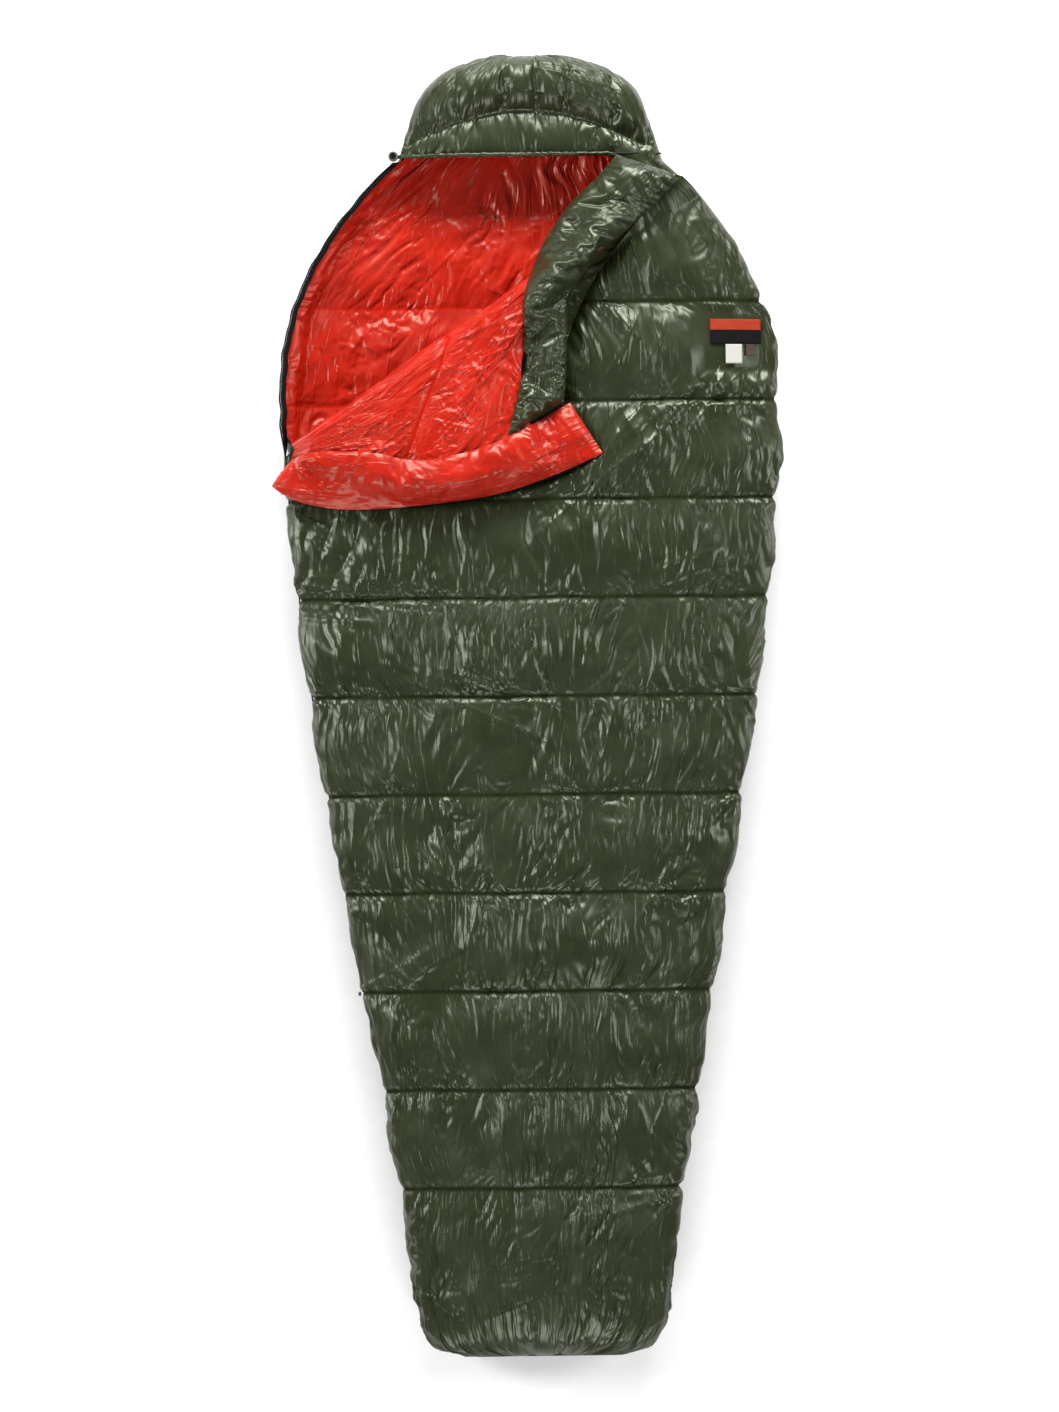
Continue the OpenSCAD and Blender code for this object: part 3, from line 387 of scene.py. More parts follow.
def grid_mesh(name, p, flip=False, shade=None):
    """Mesh of a grid of points, with its places on the cloth as UV in metres."""
    rows, cols = p.shape[:2]
    i = np.arange(rows * cols).reshape(rows, cols)
    quads = np.stack([i[:-1, :-1], i[:-1, 1:], i[1:, 1:], i[1:, :-1]], -1).reshape(-1, 4)
    if flip:
        quads = quads[:, ::-1]
    mesh = bpy.data.meshes.new(name)
    mesh.vertices.add(rows * cols)
    mesh.vertices.foreach_set("co", p.astype(F).ravel())
    mesh.loops.add(quads.size)
    mesh.loops.foreach_set("vertex_index", quads.astype(np.int32).ravel())
    mesh.polygons.add(len(quads))
    mesh.polygons.foreach_set("loop_start", np.arange(0, quads.size, 4, dtype=np.int32))
    mesh.update(calc_edges=True)
    u, v = cloth_places(p)
    uv = np.stack(np.meshgrid(u, v), -1).reshape(-1, 2)
    mesh.uv_layers.new(name="cloth").data.foreach_set("uv", uv[quads.ravel()].astype(F).ravel())
    # The seam attribute tells the material where to paint shade along the seams
    if shade is not None:
        mesh.attributes.new("seam", "FLOAT", "POINT").data.foreach_set("value", shade.astype(F).ravel())
    return mesh


def cloth_piece(name, p, material, flip=False, shade=None):
    return new_object(name, grid_mesh(name, p, flip, shade), material)


def declare(obj, body, slot, *nodes):
    """Hangs a piece on its body and hides the solids that it stands for; the slot argument is not used."""
    if nodes:
        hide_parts(*nodes)
    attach(obj, body)


def numbered(name, count):
    return [f"{name}_{i}" for i in range(1, count + 1)]


def keep_side(obj, sign):
    """Cuts a piece along the upright plane through the fold and keeps one side of it."""
    bm = bmesh.new()
    bm.from_mesh(obj.data)
    bmesh.ops.bisect_plane(
        bm, geom=bm.verts[:] + bm.edges[:] + bm.faces[:], dist=1e-6,
        plane_co=(*FOLD_A, 0), plane_no=(*(sign * FOLD_NORMAL), 0), clear_inner=True,
    )
    bm.to_mesh(obj.data)
    bm.free()


def over_fold(xy):
    """Places on the far side of the fold line, as in a mirror."""
    d = np.asarray(xy, float) - FOLD_A
    return FOLD_A + 2 * (d @ FOLD_DIR)[..., None] * FOLD_DIR - d


def turned_over(p):
    """Points of the closed flap, turned over the fold."""
    out = np.empty_like(p)
    out[..., :2] = over_fold(p[..., :2])
    out[..., 2] = 2 * FOLD_Z - p[..., 2]
    return out


def turn_over(obj):
    """Turns a piece of the closed flap over the fold."""
    co = np.empty(len(obj.data.vertices) * 3, F)
    obj.data.vertices.foreach_get("co", co)
    obj.data.vertices.foreach_set("co", turned_over(co.reshape(-1, 3)).ravel())
    obj.data.update()


# Materials


class Nodes:
    """A material's node tree, written as expressions."""

    def __init__(self, name):
        self.material = bpy.data.materials.new(name)
        self.material.use_nodes = True
        self.tree = self.material.node_tree
        self.shader = self.tree.nodes["Principled BSDF"]

    def node(self, kind, inputs=(), **settings):
        n = self.tree.nodes.new(kind)
        for key, value in settings.items():
            setattr(n, key, value)
        for key, value in dict(inputs).items():
            self.put(n.inputs[key], value)
        return n

    def put(self, socket, value):
        if isinstance(value, bpy.types.NodeSocket):
            self.tree.links.new(value, socket)
        else:
            socket.default_value = value

    def math(self, operation, a, b=0.0):
        return self.node("ShaderNodeMath", {0: a, 1: b}, operation=operation).outputs[0]

    def vector(self, operation, *values):
        n = self.node("ShaderNodeVectorMath", enumerate(values), operation=operation)
        return n.outputs["Value" if operation == "DOT_PRODUCT" else "Vector"]

    def ramp(self, value, low, high, to=(0.0, 1.0)):
        inputs = {"Value": value, "From Min": low, "From Max": high, "To Min": to[0], "To Max": to[1]}
        return self.node("ShaderNodeMapRange", inputs, interpolation_type="SMOOTHSTEP").outputs[0]

    def colour(self, share, a, b):
        n = self.node("ShaderNodeMix", data_type="RGBA")
        self.put(n.inputs[0], share)
        n.inputs[6].default_value = (*a, 1)
        n.inputs[7].default_value = (*b, 1)
        return n.outputs[2]

    def noise(self, place, scale, detail=2.0, rough=0.5, twist=0.0):
        inputs = {"Vector": place, "Scale": scale, "Detail": detail, "Roughness": rough, "Distortion": twist}
        return self.node("ShaderNodeTexNoise", inputs).outputs["Fac"]

    def place(self, scale, turn=0.0, move=0.0):
        """Place on the cloth, stretched by scale and turned."""
        uv = self.node("ShaderNodeUVMap", uv_map="cloth").outputs[0]
        inputs = {"Vector": uv, "Scale": (*scale, 1), "Rotation": (0, 0, turn), "Location": (move, move, 0)}
        return self.node("ShaderNodeMapping", inputs).outputs[0]

    def ridges(self, place, width):
        """Thin lines where a noise crosses its middle."""
        n = self.noise(place, 1.0, 1.5, 0.45, 0.05)
        off = self.math("ABSOLUTE", self.math("SUBTRACT", n, 0.5))
        return self.ramp(off, 0.0, width, (1.0, 0.0))

    def facets(self, place):
        """Small flat faces, each with its own slope, as in crumpled foil."""
        cell = self.node("ShaderNodeTexVoronoi", {"Vector": place, "Scale": 1.0}, voronoi_dimensions="2D")
        away = self.vector("SUBTRACT", place, cell.outputs["Position"])
        slope = self.vector("SUBTRACT", cell.outputs["Color"], (0.5, 0.5, 0.5))
        return self.vector("DOT_PRODUCT", away, slope)

    def crumple(self, place):
        """Flat faces that meet in sharp creases, as in crumpled foil."""
        bend = self.node("ShaderNodeTexNoise", {"Vector": place, "Scale": 1.0, "Detail": 1.0})
        moved = self.vector("MULTIPLY_ADD", bend.outputs["Color"], (0.35, 0.35, 0.0), place)
        inputs = {"Vector": moved, "Scale": 1.0}
        cell = self.node("ShaderNodeTexVoronoi", inputs, voronoi_dimensions="2D", feature="DISTANCE_TO_EDGE")
        return cell.outputs["Distance"]

    def bump(self, height, strength, distance, under=None):
        inputs = {"Height": height, "Strength": strength, "Distance": distance}
        if under is not None:
            inputs["Normal"] = under
        return self.node("ShaderNodeBump", inputs).outputs[0]


def srgb(*values):
    """Linear colour of an 8-bit sRGB colour."""
    return tuple(((v / 255 + 0.055) / 1.055) ** 2.4 if v > 10 else v / 255 / 12.92 for v in values)


# Fine fold lines of the nylon: stretch, turn, move and width, then stretch, move and range of their patches
FOLD_LINES = (
    ((40, 5), -0.6, 13.0, 0.045, (5, 5), 11.0, (0.52, 0.68)),
    ((40, 5), 0.45, 7.0, 0.045, (5, 5), 5.0, (0.52, 0.68)),
    ((52, 4), 0.0, 0.0, 0.05, (7, 3), 0.0, (0.44, 0.62)),
)
# Weave scale, and the dark grey that the base colour is multiplied towards on the seams: painted shade in
# the seam grooves
WEAVE_SCALE, SEAM_PAINTED_SHADE = 330.0, (0.25, 0.25, 0.25, 1)


def nylon(name, pale, dark, roughness, shine, tint):
    """Thin calendered nylon over down: fine fold lines, crumpled faces and a close weave; its seams carry
    painted shade in the base colour and lose most of their sheen.
    """
    m = Nodes(name)
    mottle = m.noise(m.place((1, 1)), 22.0, 4.0, 0.6)
    plain_colour = m.colour(m.ramp(mottle, 0.3, 0.7), dark, pale)
    # Painted shade: the base colour is darkened towards a dark grey along the seam lines, where the shallow
    # grooves would be in shade
    seam = m.node("ShaderNodeAttribute", attribute_name="seam").outputs["Fac"]
    painted_seam_shade = m.node("ShaderNodeMix", data_type="RGBA", blend_type="MULTIPLY")
    m.put(painted_seam_shade.inputs[0], m.ramp(seam, 0.5, 1.0, (0.0, 0.7)))
    m.put(painted_seam_shade.inputs[6], plain_colour)
    painted_seam_shade.inputs[7].default_value = SEAM_PAINTED_SHADE
    m.put(m.shader.inputs["Base Color"], painted_seam_shade.outputs[2])
    patches = m.noise(m.place((1, 1), move=3.0), 9.0, 2.0, 0.5)
    rough = m.ramp(patches, 0.3, 0.7, (roughness - 0.05, roughness + 0.07))
    m.put(m.shader.inputs["Roughness"], rough)
    lines = 0.0
    for scale, turn, move, width, patch_scale, patch_move, reach in FOLD_LINES:
        where = m.ramp(m.noise(m.place(patch_scale, move=patch_move), 1.0, 1.0), *reach)
        lines = m.math("ADD", m.math("MULTIPLY", m.ridges(m.place(scale, turn, move), width), where), lines)
    weave = 1.0
    for axis in "XY":
        inputs = {"Vector": m.place((1, 1)), "Scale": WEAVE_SCALE}
        wave = m.node("ShaderNodeTexWave", inputs, bands_direction=axis)
        weave = m.math("MULTIPLY", wave.outputs["Fac"], weave)
    calm = m.ramp(m.noise(m.place((6, 4), move=17.0), 1.0, 1.0), 0.35, 0.65, (0.25, 1.0))
    long = m.math("MULTIPLY", m.crumple(m.place((15, 4), turn=0.12)), calm)
    short = m.math("MULTIPLY", m.crumple(m.place((38, 10), turn=-0.3, move=4.0)), calm)
    faces = m.bump(long, 0.9, 0.0150, m.bump(weave, 0.08, 0.0001))
    faces = m.bump(short, 0.8, 0.0030, faces)
    faces = m.bump(m.facets(m.place((34, 12), turn=0.25, move=9.0)), 0.5, 0.0035, faces)
    m.put(m.shader.inputs["Normal"], m.bump(lines, 0.75, 0.0009, faces))
    m.put(m.shader.inputs["Specular IOR Level"], m.ramp(seam, 0.04, 0.45, (shine, 0.08 * shine)))
    m.shader.inputs["Specular Tint"].default_value = (*tint, 1)
    return m.material


GRAIN_DEPTH = 0.0002


def plain(name, colour, roughness, metallic=0.0, grain=300.0, spread=0.25, shine=0.25):
    """A moulded, woven or metal surface with fine grain; it needs no places on a cloth."""
    m = Nodes(name)
    where = m.node("ShaderNodeTexCoord").outputs["Object"]
    n = m.noise(where, grain, 3.0, 0.6)
    low = tuple(c * (1 - spread) for c in colour)
    m.put(m.shader.inputs["Base Color"], m.colour(m.ramp(n, 0.3, 0.7), low, colour))
    m.put(m.shader.inputs["Roughness"], m.ramp(n, 0.2, 0.8, (roughness - 0.06, roughness + 0.06)))
    m.shader.inputs["Metallic"].default_value = metallic
    m.shader.inputs["Specular IOR Level"].default_value = shine
    m.put(m.shader.inputs["Normal"], m.bump(n, 0.4, GRAIN_DEPTH))
    return m.material


OLIVE = nylon("olive_nylon", srgb(39, 44, 25), srgb(31, 36, 18), 0.34, 0.46, (0.92, 1.0, 0.8))
RED = nylon("red_nylon", srgb(168, 27, 12), srgb(152, 23, 9), 0.31, 0.46, (1.0, 0.74, 0.6))
ZIP_BLACK = plain("zip_black", srgb(11, 10, 10), 0.6, grain=1500.0, shine=0.1)
CORD_BLACK = plain("cord_black", srgb(26, 26, 25), 0.7, grain=900.0)
LOCK_GREY = plain("lock_grey", srgb(96, 98, 92), 0.45, grain=400.0)
STEEL = plain("steel", srgb(170, 170, 174), 0.3, 1.0, grain=800.0)
PATCH_BLACK = plain("patch_black", srgb(12, 11, 11), 0.8, grain=1600.0, shine=0.1)
STRIPE_RED = plain("stripe_red", srgb(146, 48, 28), 0.8, grain=1600.0, shine=0.1)
TAG_WHITE = plain("tag_white", srgb(172, 170, 163), 0.8, grain=1600.0, spread=0.08)
TAG_DARK = plain("tag_dark", srgb(66, 50, 46), 0.8, grain=1600.0)
THREAD_OLIVE = plain("thread_olive", srgb(30, 33, 21), 0.7, grain=2500.0)
THREAD_RED = plain("thread_red", srgb(150, 30, 22), 0.6, grain=2500.0)

# Fold lines of the lining: short, straight and in all directions
CRISP = dict(density=2400, lean=0.6, upright=0.45, length=0.024, height=0.0017, steep=(0.0011, 0.0018),
             gentle=(0.003, 0.011))


def passes(*counts):
    return counts


# Whole top quilt, closed: the shell of the body and of the flap are cut from one sheet

TOP_COLUMNS, TOP_TOE_ROWS, CHAMBER_ROWS, NECK_ROWS = 104, 20, 12, 15
TUCK, TUCK_IN = 0.016, 0.7
ZIP_END_Y, ZIP_COVER, ZIP_CLEAR = -0.458, 0.007, 0.0075
SHEET_UNDER, SEAM_DIP, ROW_GATHER, LUMP = 0.004, 0.007, 0.4, 0.0034
FOLD_BLEND, FOLD_LOWER, FLAP_UNDER, FLAP_DIP = 0.045, 0.012, 0.005, 0.006


def arch(left, right, height, power, count, tuck=0.0, fine=300):
    """Places across a rounded section from one side edge to the other, evenly spaced along the cloth.

    Below its widest place the section turns in again by tuck.
    """
    th = np.linspace(-np.pi / 2, np.pi / 2, fine)
    x = np.where(th < 0, left, right) * np.sign(th) * np.abs(np.sin(th)) ** (2 / power)
    z = height * np.abs(np.cos(th)) ** (2 / power)
    if tuck:
        a = np.linspace(0, np.pi / 2, 12)[1:]
        inward, down = TUCK_IN * tuck * (1 - np.cos(a)), -tuck * np.sin(a)
        x = np.concatenate([(inward - left)[::-1], x, right - inward])
        z = np.concatenate([down[::-1], z, down])
    run = np.concatenate([[0], np.cumsum(np.hypot(np.diff(x), np.diff(z)))])
    s = np.linspace(0, run[-1], count)
    return np.interp(s, run, x), np.interp(s, run, z)


def zip_cover(y):
    """How far the top quilt's side hangs over the closed zip."""
    return ZIP_COVER * smooth((y - ZIP_END_Y) / 0.06 + 1) * smooth((FOLD_A[1] - y) / 0.04)


def top_section(y):
    rise = ramp((y - FOOT_Y) / FOOT_CAP)
    dip = SEAM_DIP * (1 - puff(y, FIRST_SEAM))
    height = (TOP_CROWN - SHEET_UNDER - SIDE_SEAM - TUCK - dip) * rise
    x, z = arch(rim(y, -1) + zip_cover(y), rim(y, 1), height, 2.7, TOP_COLUMNS + 1, TUCK * rise)
    return x, z + SIDE_SEAM + TUCK * rise


def neck_edge(s):
    """Height along the bag of the closed flap's neck edge, from the zip corner to the fold."""
    dip = NECK_DIP * np.sin(np.pi * clamp(s) ** DIP_SKEW) ** DIP_CURVE
    return mix(CORNER_Y, FOLD_C[1], s) - dip


def fold_distance(xy):
    """Distance from the fold line, positive on the body's side."""
    return (xy - FOLD_A) @ FOLD_NORMAL


def in_flap(xy):
    """How far a place lies inside the closed flap's outline, in metres."""
    s = clamp((xy[..., 0] / np.maximum(half_width(xy[..., 1]), 0.05) + 1) / 2)
    zip_side = xy[..., 0] + half_width(xy[..., 1])
    return np.minimum.reduce([zip_side, neck_edge(s) - xy[..., 1], -fold_distance(xy)])


def top_base():
    chamber = np.linspace(0, CHAMBERS, CHAMBERS * CHAMBER_ROWS + 1)
    chamber = chamber - ROW_GATHER * np.sin(2 * np.pi * chamber) / (2 * np.pi)
    ys = np.concatenate([np.linspace(FOOT_Y, TOE_SEAM, TOP_TOE_ROWS + 1)[:-1], TOE_SEAM + PITCH * chamber])
    base = np.zeros((len(ys) + NECK_ROWS, TOP_COLUMNS + 1, 3))
    for i, y in enumerate(ys):
        x, z = top_section(y)
        base[i] = np.stack([x, y + 0 * x, z], -1)
    edge = neck_edge(np.linspace(0, 1, TOP_COLUMNS + 1))
    for k in range(1, NECK_ROWS + 1):
        row = FIRST_SEAM + (edge - FIRST_SEAM) * k / NECK_ROWS
        for j, y in enumerate(row):
            x, z = top_section(y)
            base[len(ys) - 1 + k, j] = x[j], y, z[j]
    lumps = sum(soft_noise(np.random.default_rng(seed), base.shape[:2], size)
                for seed, size in ((7, (7, 11)), (8, (16, 20))))
    inward = clamp(np.minimum(np.arange(TOP_COLUMNS + 1), TOP_COLUMNS - np.arange(TOP_COLUMNS + 1)) / 12)
    base[..., 2] += LUMP * lumps * inward * puff(base[..., 1], FIRST_SEAM)
    edge_z = SIDE_SEAM + ZIP_CLEAR * zip_cover(base[..., 1]) / ZIP_COVER
    base[:, :9, 2] = np.maximum(base, edge_z[..., None])[:, :9, 2]
    seams = [TOP_TOE_ROWS + CHAMBER_ROWS * i for i in range(CHAMBERS + 1)]
    return base, seams


def settle_fold(p):
    """Brings a closed sheet to the fold's height along it, and lower where the two sides lie together."""
    d = fold_distance(p[..., :2])
    under = np.where(d > 0, in_flap(over_fold(p[..., :2])), np.inf)
    lower = np.where(d > 0, FOLD_LOWER * smooth(under / 0.05 + 0.5), 0)
    near = smooth(1 - np.abs(d) / FOLD_BLEND)
    p[..., 2] = mix(p[..., 2] - lower, FOLD_Z, near)
    folded = (under > -0.01) | (d <= 0)
    p[..., 2] = np.where(folded, np.minimum(p[..., 2], FOLD_Z - 0.0004 * (1 - near)), p[..., 2])
    return p


def flatten_flap(p):
    """The closed flap is as high at its zip edge and its neck edge as in its middle."""
    d = fold_distance(p[..., :2])
    level = TOP_CROWN - FLAP_UNDER - FLAP_DIP * (1 - puff(p[..., 1], FIRST_SEAM))
    p[..., 2] = np.where(d < 0, level, p[..., 2])
    return p


PATCH_X, PATCH_Z, PATCH_Y, PATCH_FALL = (0.2868, 0.3245, 0.3688), (0.1279, 0.1245, 0.1087), 0.58, 0.1
PATCH_SIDE, PATCH_ENDS, PATCH_SINK = (0.281, 0.375), (0.542, 0.626), 0.0016


def patch_level(x, y):
    """Height of the underside of the sewn patch."""
    return np.interp(x, PATCH_X, PATCH_Z) - PATCH_FALL * np.maximum(y - PATCH_Y, 0)


def under_patch(p):
    """Keeps the shell below the patch and its tags."""
    x, y = p[..., 0], p[..., 1]
    out_x = np.maximum(PATCH_SIDE[0] - x, x - PATCH_SIDE[1])
    out_y = np.maximum(PATCH_ENDS[0] - y, y - PATCH_ENDS[1])
    near = smooth(1 - np.maximum(np.maximum(out_x, out_y), 0) / 0.03)
    p[..., 2] = np.minimum(p[..., 2], mix(p[..., 2], patch_level(x, y) - PATCH_SINK, near))
    return p


base, top_seams = top_base()
base = settle_fold(flatten_flap(base))
top = drape(base, top_seams, seed=5, passes=passes(50, 70, 40), excess=(0.018, 0.008), per=CHAMBER_ROWS,
            high=0.004, low=-0.003)
fine_seams = [4 * i for i in top_seams]
top, top_shade = sewn(creased(top, 3, seams=fine_seams), fine_seams)
top = under_patch(settle_fold(top.astype(float))).astype(F)
top_cover = cloth_piece("top_cover", top, OLIVE, shade=top_shade)
flap_cover = cloth_piece("flap_cover", top, OLIVE, shade=top_shade)
keep_side(top_cover, 1)
keep_side(flap_cover, -1)
turn_over(flap_cover)
declare(top_cover, "bag", "shell_nylon", "top_shell", "top_baffles", *numbered("top_fill", CHAMBERS + 2))
declare(flap_cover, "flap", "shell_nylon", "flap_shell", "flap_baffles", *numbered("flap_fill", 3))

# Bottom quilt: lining inside, shell outside

BOTTOM_COLUMNS, BOTTOM_ROWS, HIDDEN_ROWS, HIDDEN_CHAMBERS, RIM_INSET = 84, 15, 3, 7, 0.016
BOTTOM_SEAM = FIRST_SEAM + PITCH
END_INSET, END_REACH, OPEN_SPREAD = 0.016, 0.06, 0.06
LINING_UNDER, LINING_DIP, WALL_TOP = 0.012, 0.004, 0.010


def bottom_rows(hidden, per, toe, head):
    """Rows of the bottom quilt: hidden rows a chamber in the closed bag and per rows in the opening."""
    counts = [toe] + [hidden] * HIDDEN_CHAMBERS + [per] * (CHAMBERS + 1 - HIDDEN_CHAMBERS)
    seam_ys = [FOOT_Y] + [TOE_SEAM + PITCH * i for i in range(CHAMBERS + 2)]
    ys = [np.linspace(a, b, n + 1)[:-1] for a, b, n in zip(seam_ys, seam_ys[1:], counts)]
    ys.append(mix(BOTTOM_SEAM, HEAD_Y, np.sin(np.linspace(0, np.pi / 2, head + 1))))
    return np.concatenate(ys), np.cumsum(counts).tolist()


def opened(y):
    """1 along the open part of the zip, 0 elsewhere."""
    return smooth((y - FOLD_A[1]) / OPEN_SPREAD) * smooth((HEM_Y - y) / 0.02)


def pulled_in(y):
    """Pulls the ends of a lining in from the side seam at the toe and at the head."""
    toe, head = FOOT_Y + END_REACH - y, y - HEAD_Y + END_REACH
    return y + END_INSET * (smooth(toe / END_REACH) - smooth(head / END_REACH))


def end_fall(y):
    """How much of its depth the bottom quilt has at y: less at the foot and at the head."""
    return np.minimum(ramp((y - FOOT_Y) / FOOT_CAP), ramp((HEAD_Y - y) / HOOD_CAP))


def lining_base():
    ys, seams = bottom_rows(HIDDEN_ROWS, BOTTOM_ROWS, 6, 18)
    base = np.zeros((len(ys), BOTTOM_COLUMNS + 1, 3))
    for i, y in enumerate(ys):
        dip = LINING_DIP * (1 - puff(y, BOTTOM_SEAM))
        depth = (SIDE_SEAM - BOTTOM_LOFT + LINING_UNDER + dip) * end_fall(y)
        left = mix(rim(y, -1) - RIM_INSET, half_width(y), opened(y))
        x, z = arch(left, rim(y, 1) - RIM_INSET, depth, 3.2, BOTTOM_COLUMNS + 1)
        x = x + RIM_INSET * opened(y) * smooth(z / WALL_TOP) * clamp(-x / left) ** 4
        base[i] = np.stack([x, pulled_in(y) + 0 * x, SIDE_SEAM - z], -1)
    return base, seams


base, seams = lining_base()
lining = drape(base, seams[:-1], seed=11, passes=passes(60, 80, 50), excess=(0.013, 0.008), per=BOTTOM_ROWS,
               low=-0.002, high=0.005, bend=(0.1, 0.08))
open_seams = [4 * i for i in seams[HIDDEN_CHAMBERS:-1]]
lining, lining_shade = sewn(creased(lining, 12, seams=open_seams, **CRISP), open_seams)
# The lining's seams get half of the painted seam shade
bottom_inside = cloth_piece("bottom_inside", lining, RED, shade=0.5 * lining_shade)
bottom_solids = ("bottom_lining", "bottom_baffles", *numbered("bottom_fill", CHAMBERS + 3))
declare(bottom_inside, "bag", "lining_nylon", *bottom_solids)

UNDER_COLUMNS, UNDER_ROWS, UNDER_TUCK, UNDER_LIFT, FLOOR_CLEAR = 48, 6, 0.020, 0.014, 0.0006
UNDER_IN, UNDER_OUT, UPRIGHT_RIM = 0.003, 0.002, 0.85


def shell_base():
    ys, seams = bottom_rows(UNDER_ROWS, UNDER_ROWS, 10, 10)
    base = np.zeros((len(ys), UNDER_COLUMNS + 1, 3))
    for i, y in enumerate(ys):
        fall = end_fall(y)
        tuck = UNDER_TUCK * fall
        left = mix(rim(y, -1) - UNDER_IN, half_width(y) + UNDER_OUT, opened(y))
        right = rim(y, 1) - UNDER_IN
        x, z = arch(left, right, SIDE_SEAM * fall - tuck, 3.4, UNDER_COLUMNS + 1, tuck)
        x = np.where((z < 0) & (x < 0), mix(x, -left, UPRIGHT_RIM * opened(y)), x)
        lift = UNDER_LIFT * (1 - puff(y, BOTTOM_SEAM)) * clamp(z / SIDE_SEAM) ** 2
        base[i] = np.stack([x, y + 0 * x, np.maximum(SIDE_SEAM - tuck - z + lift, FLOOR_CLEAR)], -1)
    return base, seams


base, seams = shell_base()
under = drape(base[:, ::-1], seams, seed=21, passes=passes(90, 60), excess=(0.03, 0.02), per=UNDER_ROWS,
              low=-0.003, high=0.006, floor=FLOOR_CLEAR)
under = creased(finer(under), 22, density=200)
under[..., 2] = np.maximum(under[..., 2], FLOOR_CLEAR)
bottom_cover = cloth_piece("bottom_cover", under, OLIVE)
declare(bottom_cover, "bag", "shell_nylon", "bottom_shell")

# Flap: lining in lobes that runs on round the fold into the opening

FLAP_START, FLAP_SEAM_T = 0.417, 1.62
FLAP_SEAM_Y = TOE_SEAM + PITCH * (CHAMBERS - 1)
COLLAR_ROW, NECK_ROW = 2.4, 3.0


def neck_rows(edge, t):
    inner = mix(FIRST_SEAM, edge - COLLAR_WIDTH, (t - 2) / (COLLAR_ROW - 2))
    outer = edge - COLLAR_WIDTH * (NECK_ROW - t) / (NECK_ROW - COLLAR_ROW)
    return np.where(t < COLLAR_ROW, inner, outer)


def flap_row(t, edge):
    low = mix(FLAP_START, FLAP_SEAM_Y, t)
    middle = mix(FLAP_SEAM_Y, FIRST_SEAM, t - 1)
    return np.where(t < 1, low, np.where(t < 2, middle, neck_rows(edge, t)))


def flap_plan(s, t):
    """Place on the closed flap: s from the zip edge to the fold, t from the fold's low end to the neck."""
    s, t = np.broadcast_arrays(np.asarray(s, float), np.asarray(t, float))
    zy = flap_row(t, CORNER_Y)
    fy = flap_row(t, FOLD_C[1])
    zx = -half_width(zy)
    fx = FOLD_A[0] + (fy - FOLD_A[1]) * FOLD_DIR[0] / FOLD_DIR[1]
    dip = NECK_DIP * clamp((t - 2) / (COLLAR_ROW - 2)) * np.sin(np.pi * clamp(s) ** DIP_SKEW) ** DIP_CURVE
    return np.stack([mix(zx, fx, s), mix(zy, fy, s) - dip], -1)


def flap_rest(s, t):
    """Place on the flap as it lies turned over."""
    return over_fold(flap_plan(s, t))


LOBE_COLUMNS, ROLL_COLUMNS, LOBE_ROWS, LOBE_END = 52, 9, 30, 2.5
LOBE_SEAT, LOBE_EDGE, LOBE_LOFT, ROLL_OUT, ROLL_FOOT = 0.001, 0.011, 0.034, 0.012, 0.006
# How the lobes fall off at the zip, the fold, the sewn line and the neck
ZIP_EASE, FOLD_EASE, FOLD_LOSS, SEAM_EASE, SEAM_LOSS = 0.075, 0.09, 0.45, 0.10, 0.30
NECK_T, NECK_EASE, EDGE_LEAST, EDGE_EASE = 2.56, 0.46, 0.65, 0.3
# The lobes lie flat where the flap is narrower than this, and their seam gets this share of the painted seam
# shade
LOBE_NARROW, LOBE_PAINTED_SHADE = 0.18, 0.8


def lobe_height(s, t):
    """Height of the flap's lining over its shell."""
    width = np.linalg.norm(flap_plan(1, t) - flap_plan(0, t), axis=-1)
    zip_side = ramp(s * width / ZIP_EASE)
    neck_side = ramp((NECK_T - t) / NECK_EASE)
    fold_side = 1 - FOLD_LOSS * (1 - ramp((1 - s) * width * FOLD_DIR[1] / FOLD_EASE))
    seam = 1 - SEAM_LOSS * np.exp(-np.abs(t - FLAP_SEAM_T) / SEAM_EASE)
    edge = LOBE_EDGE * mix(EDGE_LEAST, 1, ramp((LOBE_END - t) / EDGE_EASE))
    return edge + LOBE_LOFT * zip_side * neck_side * fold_side * seam * smooth((t + 0.25) / 0.6)


def lobe_base():
    low = np.linspace(0, FLAP_SEAM_T, LOBE_ROWS + 1)[:-1]
    ts = np.concatenate([low, np.linspace(FLAP_SEAM_T, LOBE_END, LOBE_ROWS)])
    s_grid, t_grid = np.meshgrid(np.linspace(0, 1, LOBE_COLUMNS + 1), ts)
    z = FOLD_Z + LOBE_SEAT + lobe_height(s_grid, t_grid)
    lobes = np.concatenate([flap_rest(s_grid, t_grid), z[..., None]], -1)
    # The roll bulges past the fold and comes down to the lining in the opening
    turn = np.linspace(0, np.pi, ROLL_COLUMNS + 1)[1:]
    edge = lobes[:, -1]
    drop = edge[:, 2] - (CEILING + ROLL_FOOT)
    out = ROLL_OUT * np.sin(turn)
    roll = np.empty((len(ts), ROLL_COLUMNS, 3))
    roll[..., :2] = edge[:, None, :2] - FOLD_NORMAL * out[:, None]
    roll[..., 2] = edge[:, 2:] - drop[:, None] * (1 - np.cos(turn)) / 2
    return np.concatenate([lobes, roll], 1), [LOBE_ROWS]


